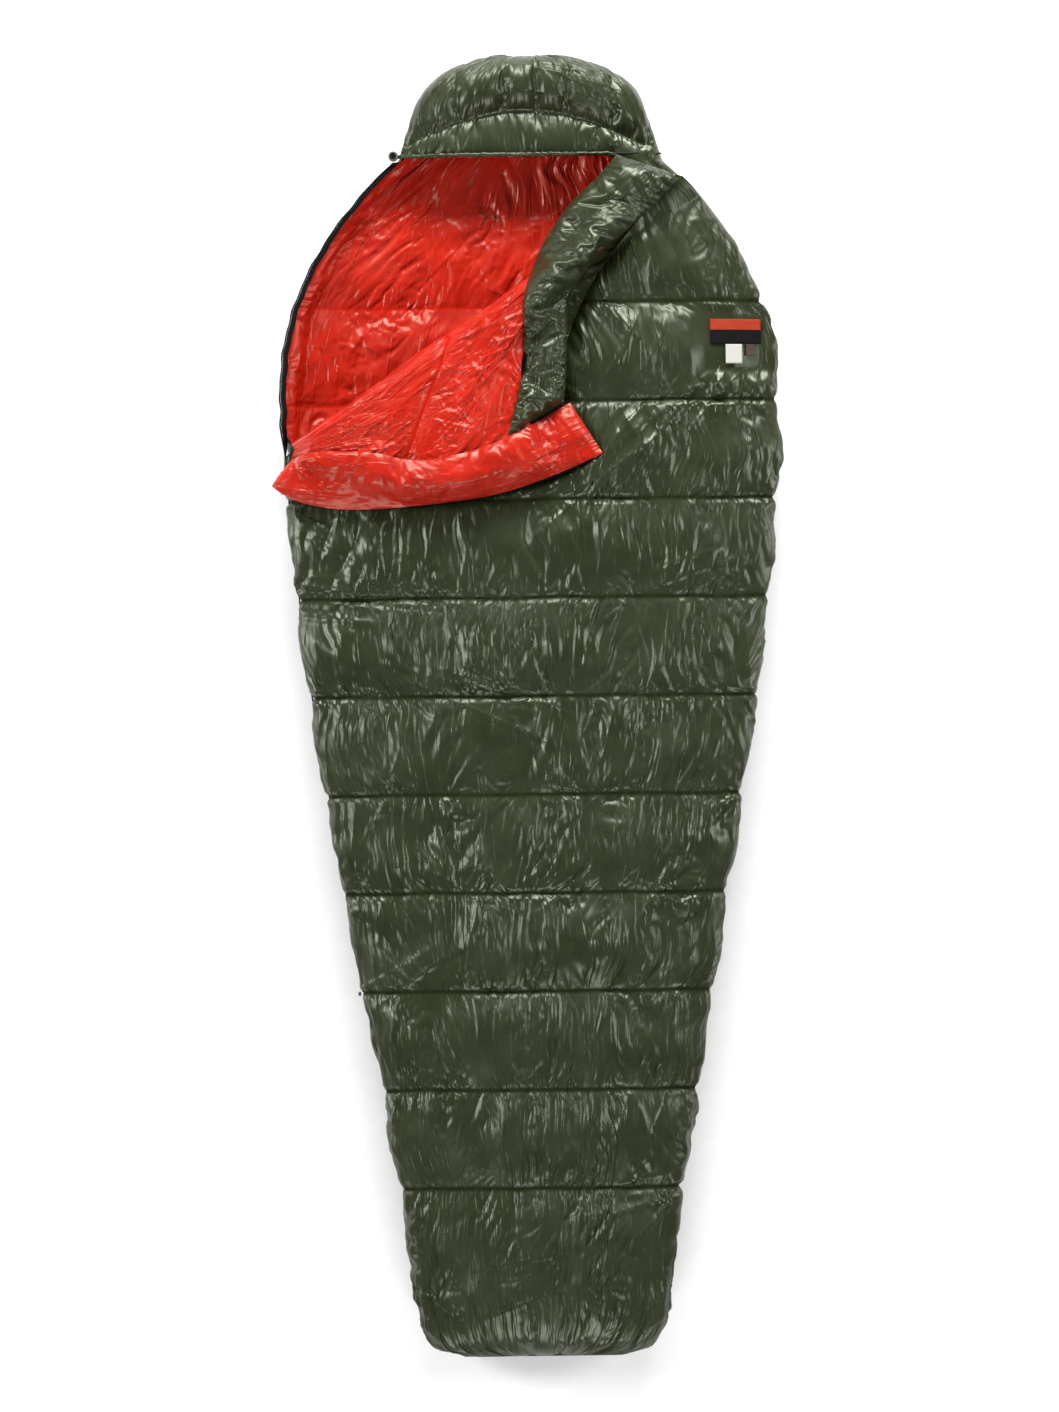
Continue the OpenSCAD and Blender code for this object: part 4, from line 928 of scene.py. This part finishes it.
base, seams = lobe_base()
lobes = drape(base, seams, seed=31, passes=passes(60, 80, 50), excess=(0.012, 0.008), per=24, high=0.005,
              bend=(0.1, 0.08), seam_slack=(0.003, 0.003, 0.003))
lobes, lobe_shade = sewn(creased(lobes, 33, seams=[4 * LOBE_ROWS], **CRISP), [4 * LOBE_ROWS])
flat_lobes = finer(finer(base.astype(F)))
lobe_width = np.linalg.norm(flat_lobes[:, 4 * LOBE_COLUMNS] - flat_lobes[:, 0], axis=-1)
lobes = mix(flat_lobes, lobes, smooth(lobe_width / LOBE_NARROW)[:, None, None].astype(F))
flap_inside = cloth_piece("flap_inside", lobes, RED, shade=LOBE_PAINTED_SHADE * lobe_shade)
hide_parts("flap_lining")
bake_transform(flap_inside)

# Lines of points, and the surfaces that other pieces lie on


def run_along(p):
    """Distance along a line of points to each of them."""
    return np.concatenate([[0], np.cumsum(np.linalg.norm(np.diff(p, axis=0), axis=1))])


def places_at(p, run, s):
    return np.stack([np.interp(s, run, p[:, k]) for k in range(p.shape[1])], -1)


def along(points, count):
    """Smooth curve through given points, with count places evenly spaced along it."""
    p = np.array(points, float)
    ends = np.concatenate([[2 * p[0] - p[1]], p, [2 * p[-1] - p[-2]]])
    t = np.linspace(0, 1, 24, endpoint=False)[:, None]
    runs = [
        0.5 * (2 * b + (c - a) * t + (2 * a - 5 * b + 4 * c - d) * t**2 + (3 * b - a - 3 * c + d) * t**3)
        for a, b, c, d in zip(ends, ends[1:], ends[2:], ends[3:])
    ]
    q = np.concatenate([*runs, p[-1:]])
    run = run_along(q)
    return places_at(q, run, np.linspace(0, run[-1], count))


def tree(obj):
    mesh = obj.data
    return BVHTree.FromPolygons([v.co for v in mesh.vertices], [face.vertices for face in mesh.polygons])


LAID_ON = [tree(obj) for obj in (top_cover, flap_inside)]


def on_top(places):
    """Height of what lies highest at each place of a grid, or of the fold where nothing does."""

    def height(x, y):
        hits = [t.ray_cast((x, y, 1.0), (0, 0, -1))[0] for t in LAID_ON]
        return max([h.z for h in hits if h is not None], default=FOLD_Z)

    return np.array([[height(x, y) for x, y in row] for row in places.tolist()])


# Padded strips on the flap: the gathered neck collar and the draft tube, whose lip lies on the shell below

STRIP_LEAST, STRIP_SEAT, COLLAR_SEAT = 0.004, 0.003, 0.0012


def strip_base(lower, upper, count, loft, ends, round_edge):
    """Padded strip between two edges, laid on what is under it."""
    flat_low, flat_high = along(lower, count[0] + 1), along(upper, count[0] + 1)
    q = np.linspace(0, 1, count[1] + 1)
    flat = flat_low[:, None] + (flat_high - flat_low)[:, None] * q[None, :, None]
    seat = np.maximum(on_top(flat), FOLD_Z + STRIP_LEAST) + STRIP_SEAT
    soft = seat.copy()
    for _ in range(6):
        soft[1:-1] = (soft[:-2] + soft[2:] + 2 * soft[1:-1]) / 4
        soft[:, 1:-1] = (soft[:, :-2] + soft[:, 2:] + 2 * soft[:, 1:-1]) / 4
    share = np.linspace(0, 1, count[0] + 1)[:, None]
    full = ramp(share / ends[0]) * mix(ends[2], 1, ramp((1 - share) / ends[1]))
    z = np.maximum(soft, seat) + loft * np.sin(np.pi * q) ** round_edge * full
    return np.concatenate([flat, z[..., None]], -1)[:, ::-1]


COLLAR_INNER = [(-0.040, 0.433), (-0.019, 0.520), (-0.012, 0.590), (-0.013, 0.650), (0.012, 0.727),
                (0.056, 0.797), (0.105, 0.846), (0.140, 0.884)]
COLLAR_OUTER = [(0.050, 0.488), (0.055, 0.540), (0.057, 0.600), (0.064, 0.659), (0.100, 0.713),
                (0.144, 0.753), (0.191, 0.796), (0.242, 0.849)]
base = strip_base(COLLAR_OUTER, COLLAR_INNER, (50, 12), 0.025, (0.08, 0.10, 0.1), 0.6)
collar_sheet = drape(base, [], seed=41, passes=passes(80, 100, 60), excess=(0.04, 0.08), press=5e-6,
                     low=-0.006, high=0.008, bend=(0.06, 0.2))
collar_sheet = creased(collar_sheet, 43, density=1500, lean=0.5, upright=0.3, length=0.028)
# The collar lies on the lining everywhere
collar_sheet[..., 2] = np.maximum(collar_sheet[..., 2], on_top(collar_sheet[..., :2]) + COLLAR_SEAT)
collar = cloth_piece("collar", collar_sheet, OLIVE)
declare(collar, "flap", "shell_nylon", "collar_shell", "collar_fill")
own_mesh(collar)

TUBE_LOWER = [(-0.420, 0.358), (-0.398, 0.342), (-0.360, 0.328), (-0.295, 0.319), (-0.190, 0.324),
              (-0.070, 0.339), (0.028, 0.369), (0.112, 0.405)]
TUBE_UPPER = [(-0.414, 0.368), (-0.385, 0.400), (-0.342, 0.411), (-0.255, 0.408), (-0.190, 0.396),
              (-0.120, 0.404), (-0.042, 0.431), (0.060, 0.487)]
base = strip_base(TUBE_LOWER, TUBE_UPPER, (54, 11), 0.013, (0.12, 0.12, 0.35), 0.85)
tube_sheet = drape(base, [], seed=51, passes=passes(60, 80, 50), excess=(0.008, 0.016), low=-0.003,
                   high=0.005, bend=(0.08, 0.15))
tube_sheet = creased(tube_sheet, 53, **CRISP)
draft_tube = cloth_piece("draft_tube", tube_sheet, RED)
declare(draft_tube, "flap", "lining_nylon", "draft_tube_shell", "draft_tube_fill")
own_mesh(draft_tube)

# Hood: a puffed roll, an arched gather crease and a flatter band, with the lining inside

HOOD_COLUMNS, HOOD_ROWS, HOOD_FRONT_Y = 56, 42, 0.889
HOOD_PROFILE = np.array([(0, 0.44), (0.12, 0.52), (0.24, 0.52), (0.32, 0.48), (0.36, 0.46), (0.45, 0.72),
                         (0.57, 0.94), (0.70, 1.0), (0.82, 0.93), (0.92, 0.72), (0.975, 0.42), (1, 0)])
CREASE_SHARE, CREASE_Y, CREASE_DROP, CREASE_HALF = 0.37, 0.962, 0.050, 0.183
PLEATS, PLEAT_DEPTH, PLEAT_HALF = (-0.118, -0.041, 0.011, 0.061, 0.132), 0.009, 0.007
FRONT_DROP, HOOD_IN, LINING_LOWER, LINING_CLEAR = 0.042, 0.002, 0.022, 0.008


def hood_front(x):
    """The hood's front edge, which dips to the shoulder at its far end."""
    return HOOD_FRONT_Y - FRONT_DROP * smooth((x - 0.12) / 0.09)


def hood_y(share, x):
    """Height along the bag of a place between the hood's front edge and the head end."""
    crease = CREASE_Y - CREASE_DROP * np.minimum(np.abs(x + 0.01) / CREASE_HALF, 1.05) ** 2
    band = mix(hood_front(x), crease, share / CREASE_SHARE)
    roll = mix(crease, HEAD_Y, (share - CREASE_SHARE) / (1 - CREASE_SHARE))
    return np.where(share < CREASE_SHARE, band, roll)


def hood_base(lower=0.0):
    size = np.array([HEAD_Y - HOOD_FRONT_Y, HOOD_CROWN - SIDE_SEAM])
    line = along(HOOD_PROFILE * size, HOOD_ROWS + 1)
    shares = line[:, 0] / size[0]
    base = np.zeros((HOOD_ROWS + 1, HOOD_COLUMNS + 1, 3))
    for i, (share, up) in enumerate(zip(shares, line[:, 1])):
        for j, across in enumerate(np.linspace(-1, 1, HOOD_COLUMNS + 1)):
            y = hood_y(share, across * NECK_HALF)
            half = half_width(y) - (RIM_INSET if lower else HOOD_IN)
            x, z = arch(half, half, max(up - lower, 0.0), 2.6, HOOD_COLUMNS + 1, fine=120)
            roll = smooth((share - CREASE_SHARE) / 0.1) * smooth((1 - share) / 0.35)
            folds = 0.0 if lower else sum(math.exp(-(((x[j] - at) / PLEAT_HALF) ** 2)) for at in PLEATS)
            base[i, j] = x[j], y, SIDE_SEAM + z[j] - PLEAT_DEPTH * roll * folds
    return base, [int(np.argmin(np.abs(shares - CREASE_SHARE)))]


base, seams = hood_base()
hood_sheet = drape(base, seams, seed=61, passes=passes(80, 100, 60), excess=(0.03, 0.012), per=24,
                   high=0.007, low=-0.004, bend=(0.12, 0.07), seam_slack=(0.004, 0.003, 0.003))
hood_sheet = creased(hood_sheet, 63, density=800, lean=0.9, upright=0.5, length=0.045, height=0.0016)
hood_cover = cloth_piece("hood_cover", hood_sheet, OLIVE)
declare(hood_cover, "bag", "shell_nylon", "hood_shell", "hood_roll_fill", "hood_band_fill")

base, _ = hood_base(lower=LINING_LOWER)
base[..., 2] = np.minimum(base[..., 2], hood_sheet[::4, ::4, 2] - LINING_CLEAR)
base[..., 1] = pulled_in(base[..., 1])
hood_lining = drape(base, [], seed=65, passes=passes(60, 60), excess=(0.04, 0.03), high=0.002, low=-0.004)
hood_inside = cloth_piece("hood_inside", hood_lining, RED, flip=True)
declare(hood_inside, "bag", "lining_nylon", "hood_lining")

# Swept pieces: hem, zip and stitches


def frames(path):
    """Directions along, across and up at each place of a path."""
    t = np.gradient(path, axis=0)
    t /= np.linalg.norm(t, axis=1, keepdims=True)
    side = np.cross(t, (0, 0, 1.0))
    side /= np.linalg.norm(side, axis=1, keepdims=True)
    return t, side, np.cross(side, t)


RING_ROUND, RING_STEP = 0.03, 0.002


def ring_mesh(name, rings):
    """Mesh of rings of points along a path, capped at both ends."""
    rows, cols = rings.shape[:2]
    i = np.arange(rows * cols).reshape(rows, cols)
    j = np.roll(i, -1, axis=1)
    faces = np.stack([i[:-1], j[:-1], j[1:], i[1:]], -1).reshape(-1, 4).tolist()
    faces += [i[0, ::-1].tolist(), i[-1].tolist()]
    mesh = bpy.data.meshes.new(name)
    mesh.from_pydata(rings.reshape(-1, 3).tolist(), [], faces)
    u, v = np.meshgrid(np.linspace(0, RING_ROUND, cols), np.linspace(0, rows * RING_STEP, rows))
    uv = np.stack([u, v], -1).reshape(-1, 2)
    loops = np.empty(len(mesh.loops), np.int32)
    mesh.loops.foreach_get("vertex_index", loops)
    mesh.uv_layers.new(name="cloth").data.foreach_set("uv", uv[loops].astype(F).ravel())
    return mesh


def tube(name, path, radii, sides, material):
    """Round piece along a path; radii holds a radius for each place, or for each place and side."""
    _, side, up = frames(path)
    a = np.linspace(0, 2 * np.pi, sides, endpoint=False)
    r = np.broadcast_to(np.asarray(radii, float).reshape(len(path), -1), (len(path), sides))[..., None]
    rings = path[:, None] + r * (np.cos(a)[:, None] * side[:, None] + np.sin(a)[:, None] * up[:, None])
    return new_object(name, ring_mesh(name, rings), material)


# Hem of the hood, gathered over its drawcord

HEM_RADIUS, HEM_GATHER, HEM_END_Z, HEM_RISE, HEM_BACK = 0.0036, 0.16, 0.0946, 0.0192, 0.001
HEM_POINTS, HEM_SIDES = 320, 20
hem_low, hem_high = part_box("hood_hem")
hem_x = np.linspace(hem_low.x, hem_high.x, HEM_POINTS)
hem_z = HEM_END_Z + HEM_RISE * (1 - (np.abs(hem_x) / hem_high.x) ** 3.2) ** 0.8
hem_path = np.stack([hem_x, hood_front(hem_x) + HEM_BACK, hem_z], -1)
hem_noise = soft_noise(np.random.default_rng(71), (HEM_POINTS, HEM_SIDES), (3, 7))
hem_radii = HEM_RADIUS * (1 + HEM_GATHER * np.clip(hem_noise, -1.5, 1.5))
hem = tube("hem", hem_path, hem_radii, HEM_SIDES, OLIVE)
declare(hem, "bag", "shell_nylon", "hood_hem")

# Zip: woven tapes with a coil each

COIL_RADIUS, COIL_PITCH, COIL_GAP, COIL_HALF = 0.0015, 0.0018, 0.62, 0.0024
CHAIN_IN, OPEN_OUT, OPEN_RISE, OPEN_LEAN = 0.001, 0.006, 0.002, np.radians(100)
TAPE_WIDTH, TAPE_WALL, TAPE_OFF = 0.0085, 0.0008, 0.0017
# Half of the tape's section, with its bound edge: shares of its width and of its wall
TAPE_CUT = np.array([(0, -0.5), (0.25, -0.5), (0.3, -0.8), (0.42, -0.8), (0.47, -0.5), (1, -0.5)])


def coil(name, path):
    """Row of coil turns along a path."""
    run = run_along(path)
    s = np.arange(0, run[-1], COIL_PITCH / 3)
    radii = COIL_RADIUS * np.where(np.arange(len(s)) % 3 == 0, COIL_GAP, 1.0)
    return tube(name, places_at(path, run, s), radii, 6, ZIP_BLACK)


def tape(name, path, across, width):
    """Flat woven band from a path outwards along across, with a bound edge."""
    cut = np.concatenate([TAPE_CUT, TAPE_CUT[::-1] * (1, -1)])
    t, _, _ = frames(path)
    flat = np.cross(across, t)
    flat /= np.linalg.norm(flat, axis=1, keepdims=True)
    out, up = cut[:, 0, None] * width * across[:, None], cut[:, 1, None] * TAPE_WALL * flat[:, None]
    return new_object(name, ring_mesh(name, path[:, None] + out + up), ZIP_BLACK)


def chain(ys, half):
    """Path of one half of the zip along the left side: closed below the fold, open above it."""
    spread = smooth((ys - FOLD_A[1]) / OPEN_SPREAD) if half < 0 else 0 * ys
    x = -half_width(ys) + CHAIN_IN - (CHAIN_IN + OPEN_OUT) * spread
    z = SIDE_SEAM + half * COIL_HALF * (1 - spread) + OPEN_RISE * spread
    lean = OPEN_LEAN * spread
    path = np.stack([x, ys, z], -1)
    path[:, 0] += (0.0008 * np.sin(95 * ys) + 0.0006 * np.sin(173 * ys)) * spread
    across = np.stack([np.sin(lean), 0 * ys, half * np.cos(lean)], -1)
    return path, across


for which, end_y, count, half in (("bottom", CORNER_Y + 0.012, 320, -1), ("top", FOLD_A[1], 200, 1)):
    path, across = chain(np.linspace(ZIP_END_Y, end_y, count), half)
    declare(coil(f"zip_half_{which}_coil", path), "bag", "zip_black", f"zip_coil_{which}")
    band = tape(f"zip_half_{which}_tape", path + across * TAPE_OFF, across, TAPE_WIDTH)
    declare(band, "bag", "zip_black", f"zip_tape_{which}")

FLAP_ZIP_T, FLAP_ZIP_UP, FLAP_ZIP_IN, FLAP_ZIP_STEP = np.linspace(0.05, 2.9, 160), 0.0035, 0.004, 0.001
flap_edge = flap_rest(0 * FLAP_ZIP_T, FLAP_ZIP_T)
flap_edge = np.concatenate([flap_edge, np.full((len(flap_edge), 1), FOLD_Z + FLAP_ZIP_UP)], -1)
_, outward, _ = frames(flap_edge)
outward = outward * np.array([1, 1, 0])
flap_edge -= FLAP_ZIP_IN * outward
band = tape("zip_half_flap_tape", flap_edge, outward, TAPE_WIDTH - FLAP_ZIP_STEP)
declare(band, "flap", "zip_black", "zip_tape_flap")
flap_coil = coil("zip_half_flap_coil", flap_edge + outward * (TAPE_WIDTH + FLAP_ZIP_STEP))
declare(flap_coil, "flap", "zip_black", "zip_coil_flap")

# Stitches along the quilt's seams

STITCH_PITCH, STITCH_LENGTH, STITCH_WIDTH, STITCH_HIGH, STITCH_END = 0.0034, 0.0025, 0.0008, 0.0006, 0.004
# One stitch, as shares of its half length, half width and height: a six-sided rim and a crown
STITCH = np.array([(-1, 0, -0.4), (-0.6, 1, 0), (0.6, 1, 0), (1, 0, -0.4), (0.6, -1, 0), (-0.6, -1, 0),
                   (0, 0, 1)])


def stitches(name, lines, material, keep):
    """Short raised threads along lines of points with their normals."""
    shape = STITCH * (STITCH_LENGTH / 2, STITCH_WIDTH / 2, STITCH_HIGH)
    faces = np.array([((i + 1) % 6, i, 6) for i in range(6)])
    points, tris = [], []
    for p, n in lines:
        run = run_along(p)
        s = np.arange(STITCH_END, run[-1] - STITCH_END, STITCH_PITCH)
        at, up = places_at(p, run, s), places_at(n, run, s)
        t = np.gradient(at, axis=0)
        t /= np.linalg.norm(t, axis=1, keepdims=True)
        side = np.cross(up, t)
        kept = keep(at)
        for place, ways in zip(at[kept], np.stack([t, side, up], 1)[kept]):
            tris.append(faces + len(STITCH) * len(points))
            points.append(place + shape @ ways)
    mesh = bpy.data.meshes.new(name)
    mesh.from_pydata(np.concatenate(points).tolist(), [], np.concatenate(tris).tolist())
    return new_object(name, mesh, material)


def sewn_lines(p, rows):
    n = normals(p)
    return [(p[row].astype(float), n[row].astype(float)) for row in rows]


LEAST_OFF, LOBE_LEAST = 0.002, 0.010
top_lines = sewn_lines(top, fine_seams)
body_stitches = stitches("top_stitches", top_lines, THREAD_OLIVE,
                         lambda p: fold_distance(p[:, :2]) > LEAST_OFF)
declare(body_stitches, "bag", "shell_nylon")
flap_stitches = stitches("flap_stitches", top_lines[-3:], THREAD_OLIVE,
                         lambda p: fold_distance(p[:, :2]) < -LEAST_OFF)
turn_over(flap_stitches)
declare(flap_stitches, "flap", "shell_nylon")
lobe_stitches = stitches("lining_stitches", sewn_lines(lobes, [4 * LOBE_ROWS]), THREAD_RED,
                         lambda p: p[:, 2] > FOLD_Z + LOBE_LEAST)
declare(lobe_stitches, "flap", "lining_nylon")

# Lining of the top quilt, inside the bag

COLLAR_CLEAR, INSIDE_INSET, INSIDE_EDGE = 0.012, 0.012, 5
COLLAR_LOW_Y, ROOF_CLEAR, ROOF_NEAR, INSIDE_UP = 0.60, 0.006, 0.008, 0.004


def inside_base():
    base, _ = top_base()
    base = base[:, INSIDE_EDGE:-INSIDE_EDGE]
    dip = FLAP_DIP * (1 - puff(base[..., 1], FIRST_SEAM))
    near = smooth((base[..., 1] - COLLAR_LOW_Y) / 0.06) * smooth(3 - fold_distance(base[..., :2]) / 0.04)
    roof = np.minimum(base[..., 2], top[::4, 4 * INSIDE_EDGE:-4 * INSIDE_EDGE:4, 2])
    ceiling = CEILING + INSIDE_UP + dip + COLLAR_CLEAR * near
    base[..., 2] = np.minimum(roof - ROOF_CLEAR - ROOF_NEAR * near, ceiling)
    base[..., 0] -= INSIDE_INSET * np.tanh(base[..., 0] / 0.05)
    base[..., 1] = pulled_in(base[..., 1])
    return base


top_inside = cloth_piece("top_inside", inside_base(), RED, flip=True)
keep_side(top_inside, 1)
declare(top_inside, "bag", "lining_nylon", "top_lining")

# Sewn patch and its two tags

PATCH_STRIPE, PATCH_WALL, PATCH_WAVE, TAG_CURL = 0.42, 0.001, 0.0003, 0.0012


def patch_surface(x, y):
    return patch_level(x, y) + PATCH_WAVE * (1 + np.sin(170 * x) * np.sin(260 * y))


def flat_sheet(name, low, high, level, material, columns=24, rows=14):
    """Thin rectangle of cloth at a given level, a little uneven."""
    x, y = np.meshgrid(np.linspace(low.x, high.x, columns + 1), np.linspace(low.y, high.y, rows + 1))
    obj = cloth_piece(name, np.stack([x, y, level(x, y)], -1), material)
    solid = obj.modifiers.new("wall", "SOLIDIFY")
    solid.thickness, solid.offset = PATCH_WALL, 1.0
    return obj


patch_low, patch_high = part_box("label_patch")
patch = flat_sheet("patch", patch_low, patch_high, patch_surface, PATCH_BLACK)
patch.data.materials.append(STRIPE_RED)
split_y = mix(patch_high.y, patch_low.y, PATCH_STRIPE)
for face in patch.data.polygons:
    face.material_index = int(face.center.y > split_y)
declare(patch, "bag", "patch_black", "label_patch")
for node, material, slot in (("large_tag", TAG_WHITE, "tag_white"), ("small_tag", TAG_DARK, "tag_dark")):
    low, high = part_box(node)
    lean = (low.z + PATCH_WALL - high.z) / (high.x - low.x)
    tag = flat_sheet(node + "_cloth", low, high, lambda x, y: high.z - PATCH_WALL + lean * (x - low.x)
                     + TAG_CURL * ((high.y - y) / (high.y - low.y)) ** 2, material, 10, 12)
    declare(tag, node, slot, node)

# Spring under the cord lock's button

SPRING_TURNS, SPRING_WIRE, SPRING_POINTS = 3.5, 0.00035, 140
low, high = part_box("cord_lock_spring")
turn = np.linspace(0, 2 * np.pi * SPRING_TURNS, SPRING_POINTS)
centre, coil_radius = (low + high) / 2, (high.x - low.x) / 2 - SPRING_WIRE
spring_z = np.linspace(low.z + SPRING_WIRE, high.z - SPRING_WIRE, SPRING_POINTS)
spring_x, spring_y = centre.x + coil_radius * np.cos(turn), centre.y + coil_radius * np.sin(turn)
spring_path = np.stack([spring_x, spring_y, spring_z], -1)
spring = tube("lock_spring", spring_path, np.full(SPRING_POINTS, SPRING_WIRE), 8, STEEL)
declare(spring, "bag", "steel", "cord_lock_spring")
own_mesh(spring)

# Stage, camera and light

PIXEL, ROLL, IMAGE = 0.0016116, math.atan(0.01134), (1059, 1412)
AIM_X, AIM_Y, AIM_Z, CAMERA_UP = 536, 706.5, 0.11, 8.0
LIGHT_AIM, FLOOR_SIZE, FLOOR_TONES, WORLD_LIGHT = (0, 0, 0.1), 30, ((0.9,) * 3, (0.92,) * 3), 0.16


def camera():
    data = bpy.data.cameras.new("camera")
    half_height = PIXEL * IMAGE[1] / 2
    data.lens = data.sensor_width / 2 * CAMERA_UP / half_height
    data.clip_end = 50
    data.shift_x = (IMAGE[0] / 2 - AIM_X) / IMAGE[1]
    data.shift_y = (AIM_Y - IMAGE[1] / 2) / IMAGE[1]
    obj = bpy.data.objects.new("camera", data)
    obj.location = (0, 0, AIM_Z + CAMERA_UP)
    obj.rotation_euler = (0, 0, -ROLL)
    scene.collection.objects.link(obj)
    scene.camera = obj


def area_light(name, place, size, power):
    data = bpy.data.lights.new(name, "AREA")
    data.shape = "RECTANGLE"
    data.size, data.size_y = size
    data.energy = power
    obj = bpy.data.objects.new(name, data)
    obj.location = place
    obj.rotation_mode = "QUATERNION"
    obj.rotation_quaternion = (Vector(LIGHT_AIM) - Vector(place)).to_track_quat("-Z", "Y")
    scene.collection.objects.link(obj)


def floor():
    bpy.ops.mesh.primitive_plane_add(size=FLOOR_SIZE, location=(0, 0, 0))
    obj = bpy.context.object
    obj.name = "floor"
    m = Nodes("floor_white")
    m.shader.inputs["Roughness"].default_value = 0.9
    grain = m.noise(m.node("ShaderNodeTexCoord").outputs["Object"], 40.0)
    m.put(m.shader.inputs["Base Color"], m.colour(m.ramp(grain, 0.3, 0.7), *FLOOR_TONES))
    obj.data.materials.append(m.material)


def world():
    w = bpy.data.worlds.new("world")
    w.use_nodes = True
    back = w.node_tree.nodes["Background"]
    back.inputs["Color"].default_value = (1, 1, 1, 1)
    back.inputs["Strength"].default_value = WORLD_LIGHT
    scene.world = w


scene.view_settings.view_transform = "Standard"
camera()
floor()
world()
area_light("head_key", (0.3, 3.2, 1.75), (2.6, 0.8), 235)
area_light("left_side", (-3.1, 0.4, 1.75), (0.8, 2.6), 112)
area_light("right_side", (3.1, 0.2, 1.75), (0.8, 2.6), 66)
area_light("foot_fill", (0.0, -3.4, 2.2), (3.0, 1.2), 95)

# Pieces that keep their own solid get a finish only
for name, material in {
    "slider_body": ZIP_BLACK, "slider_pull": ZIP_BLACK, "zip_end_stop": STEEL, "cord_lock_body": LOCK_GREY,
    "cord_lock_button": ZIP_BLACK, "hood_drawcord": CORD_BLACK,
}.items():
    node = frame["nodes"][name]
    node.data.materials.clear()
    node.data.materials.append(material)
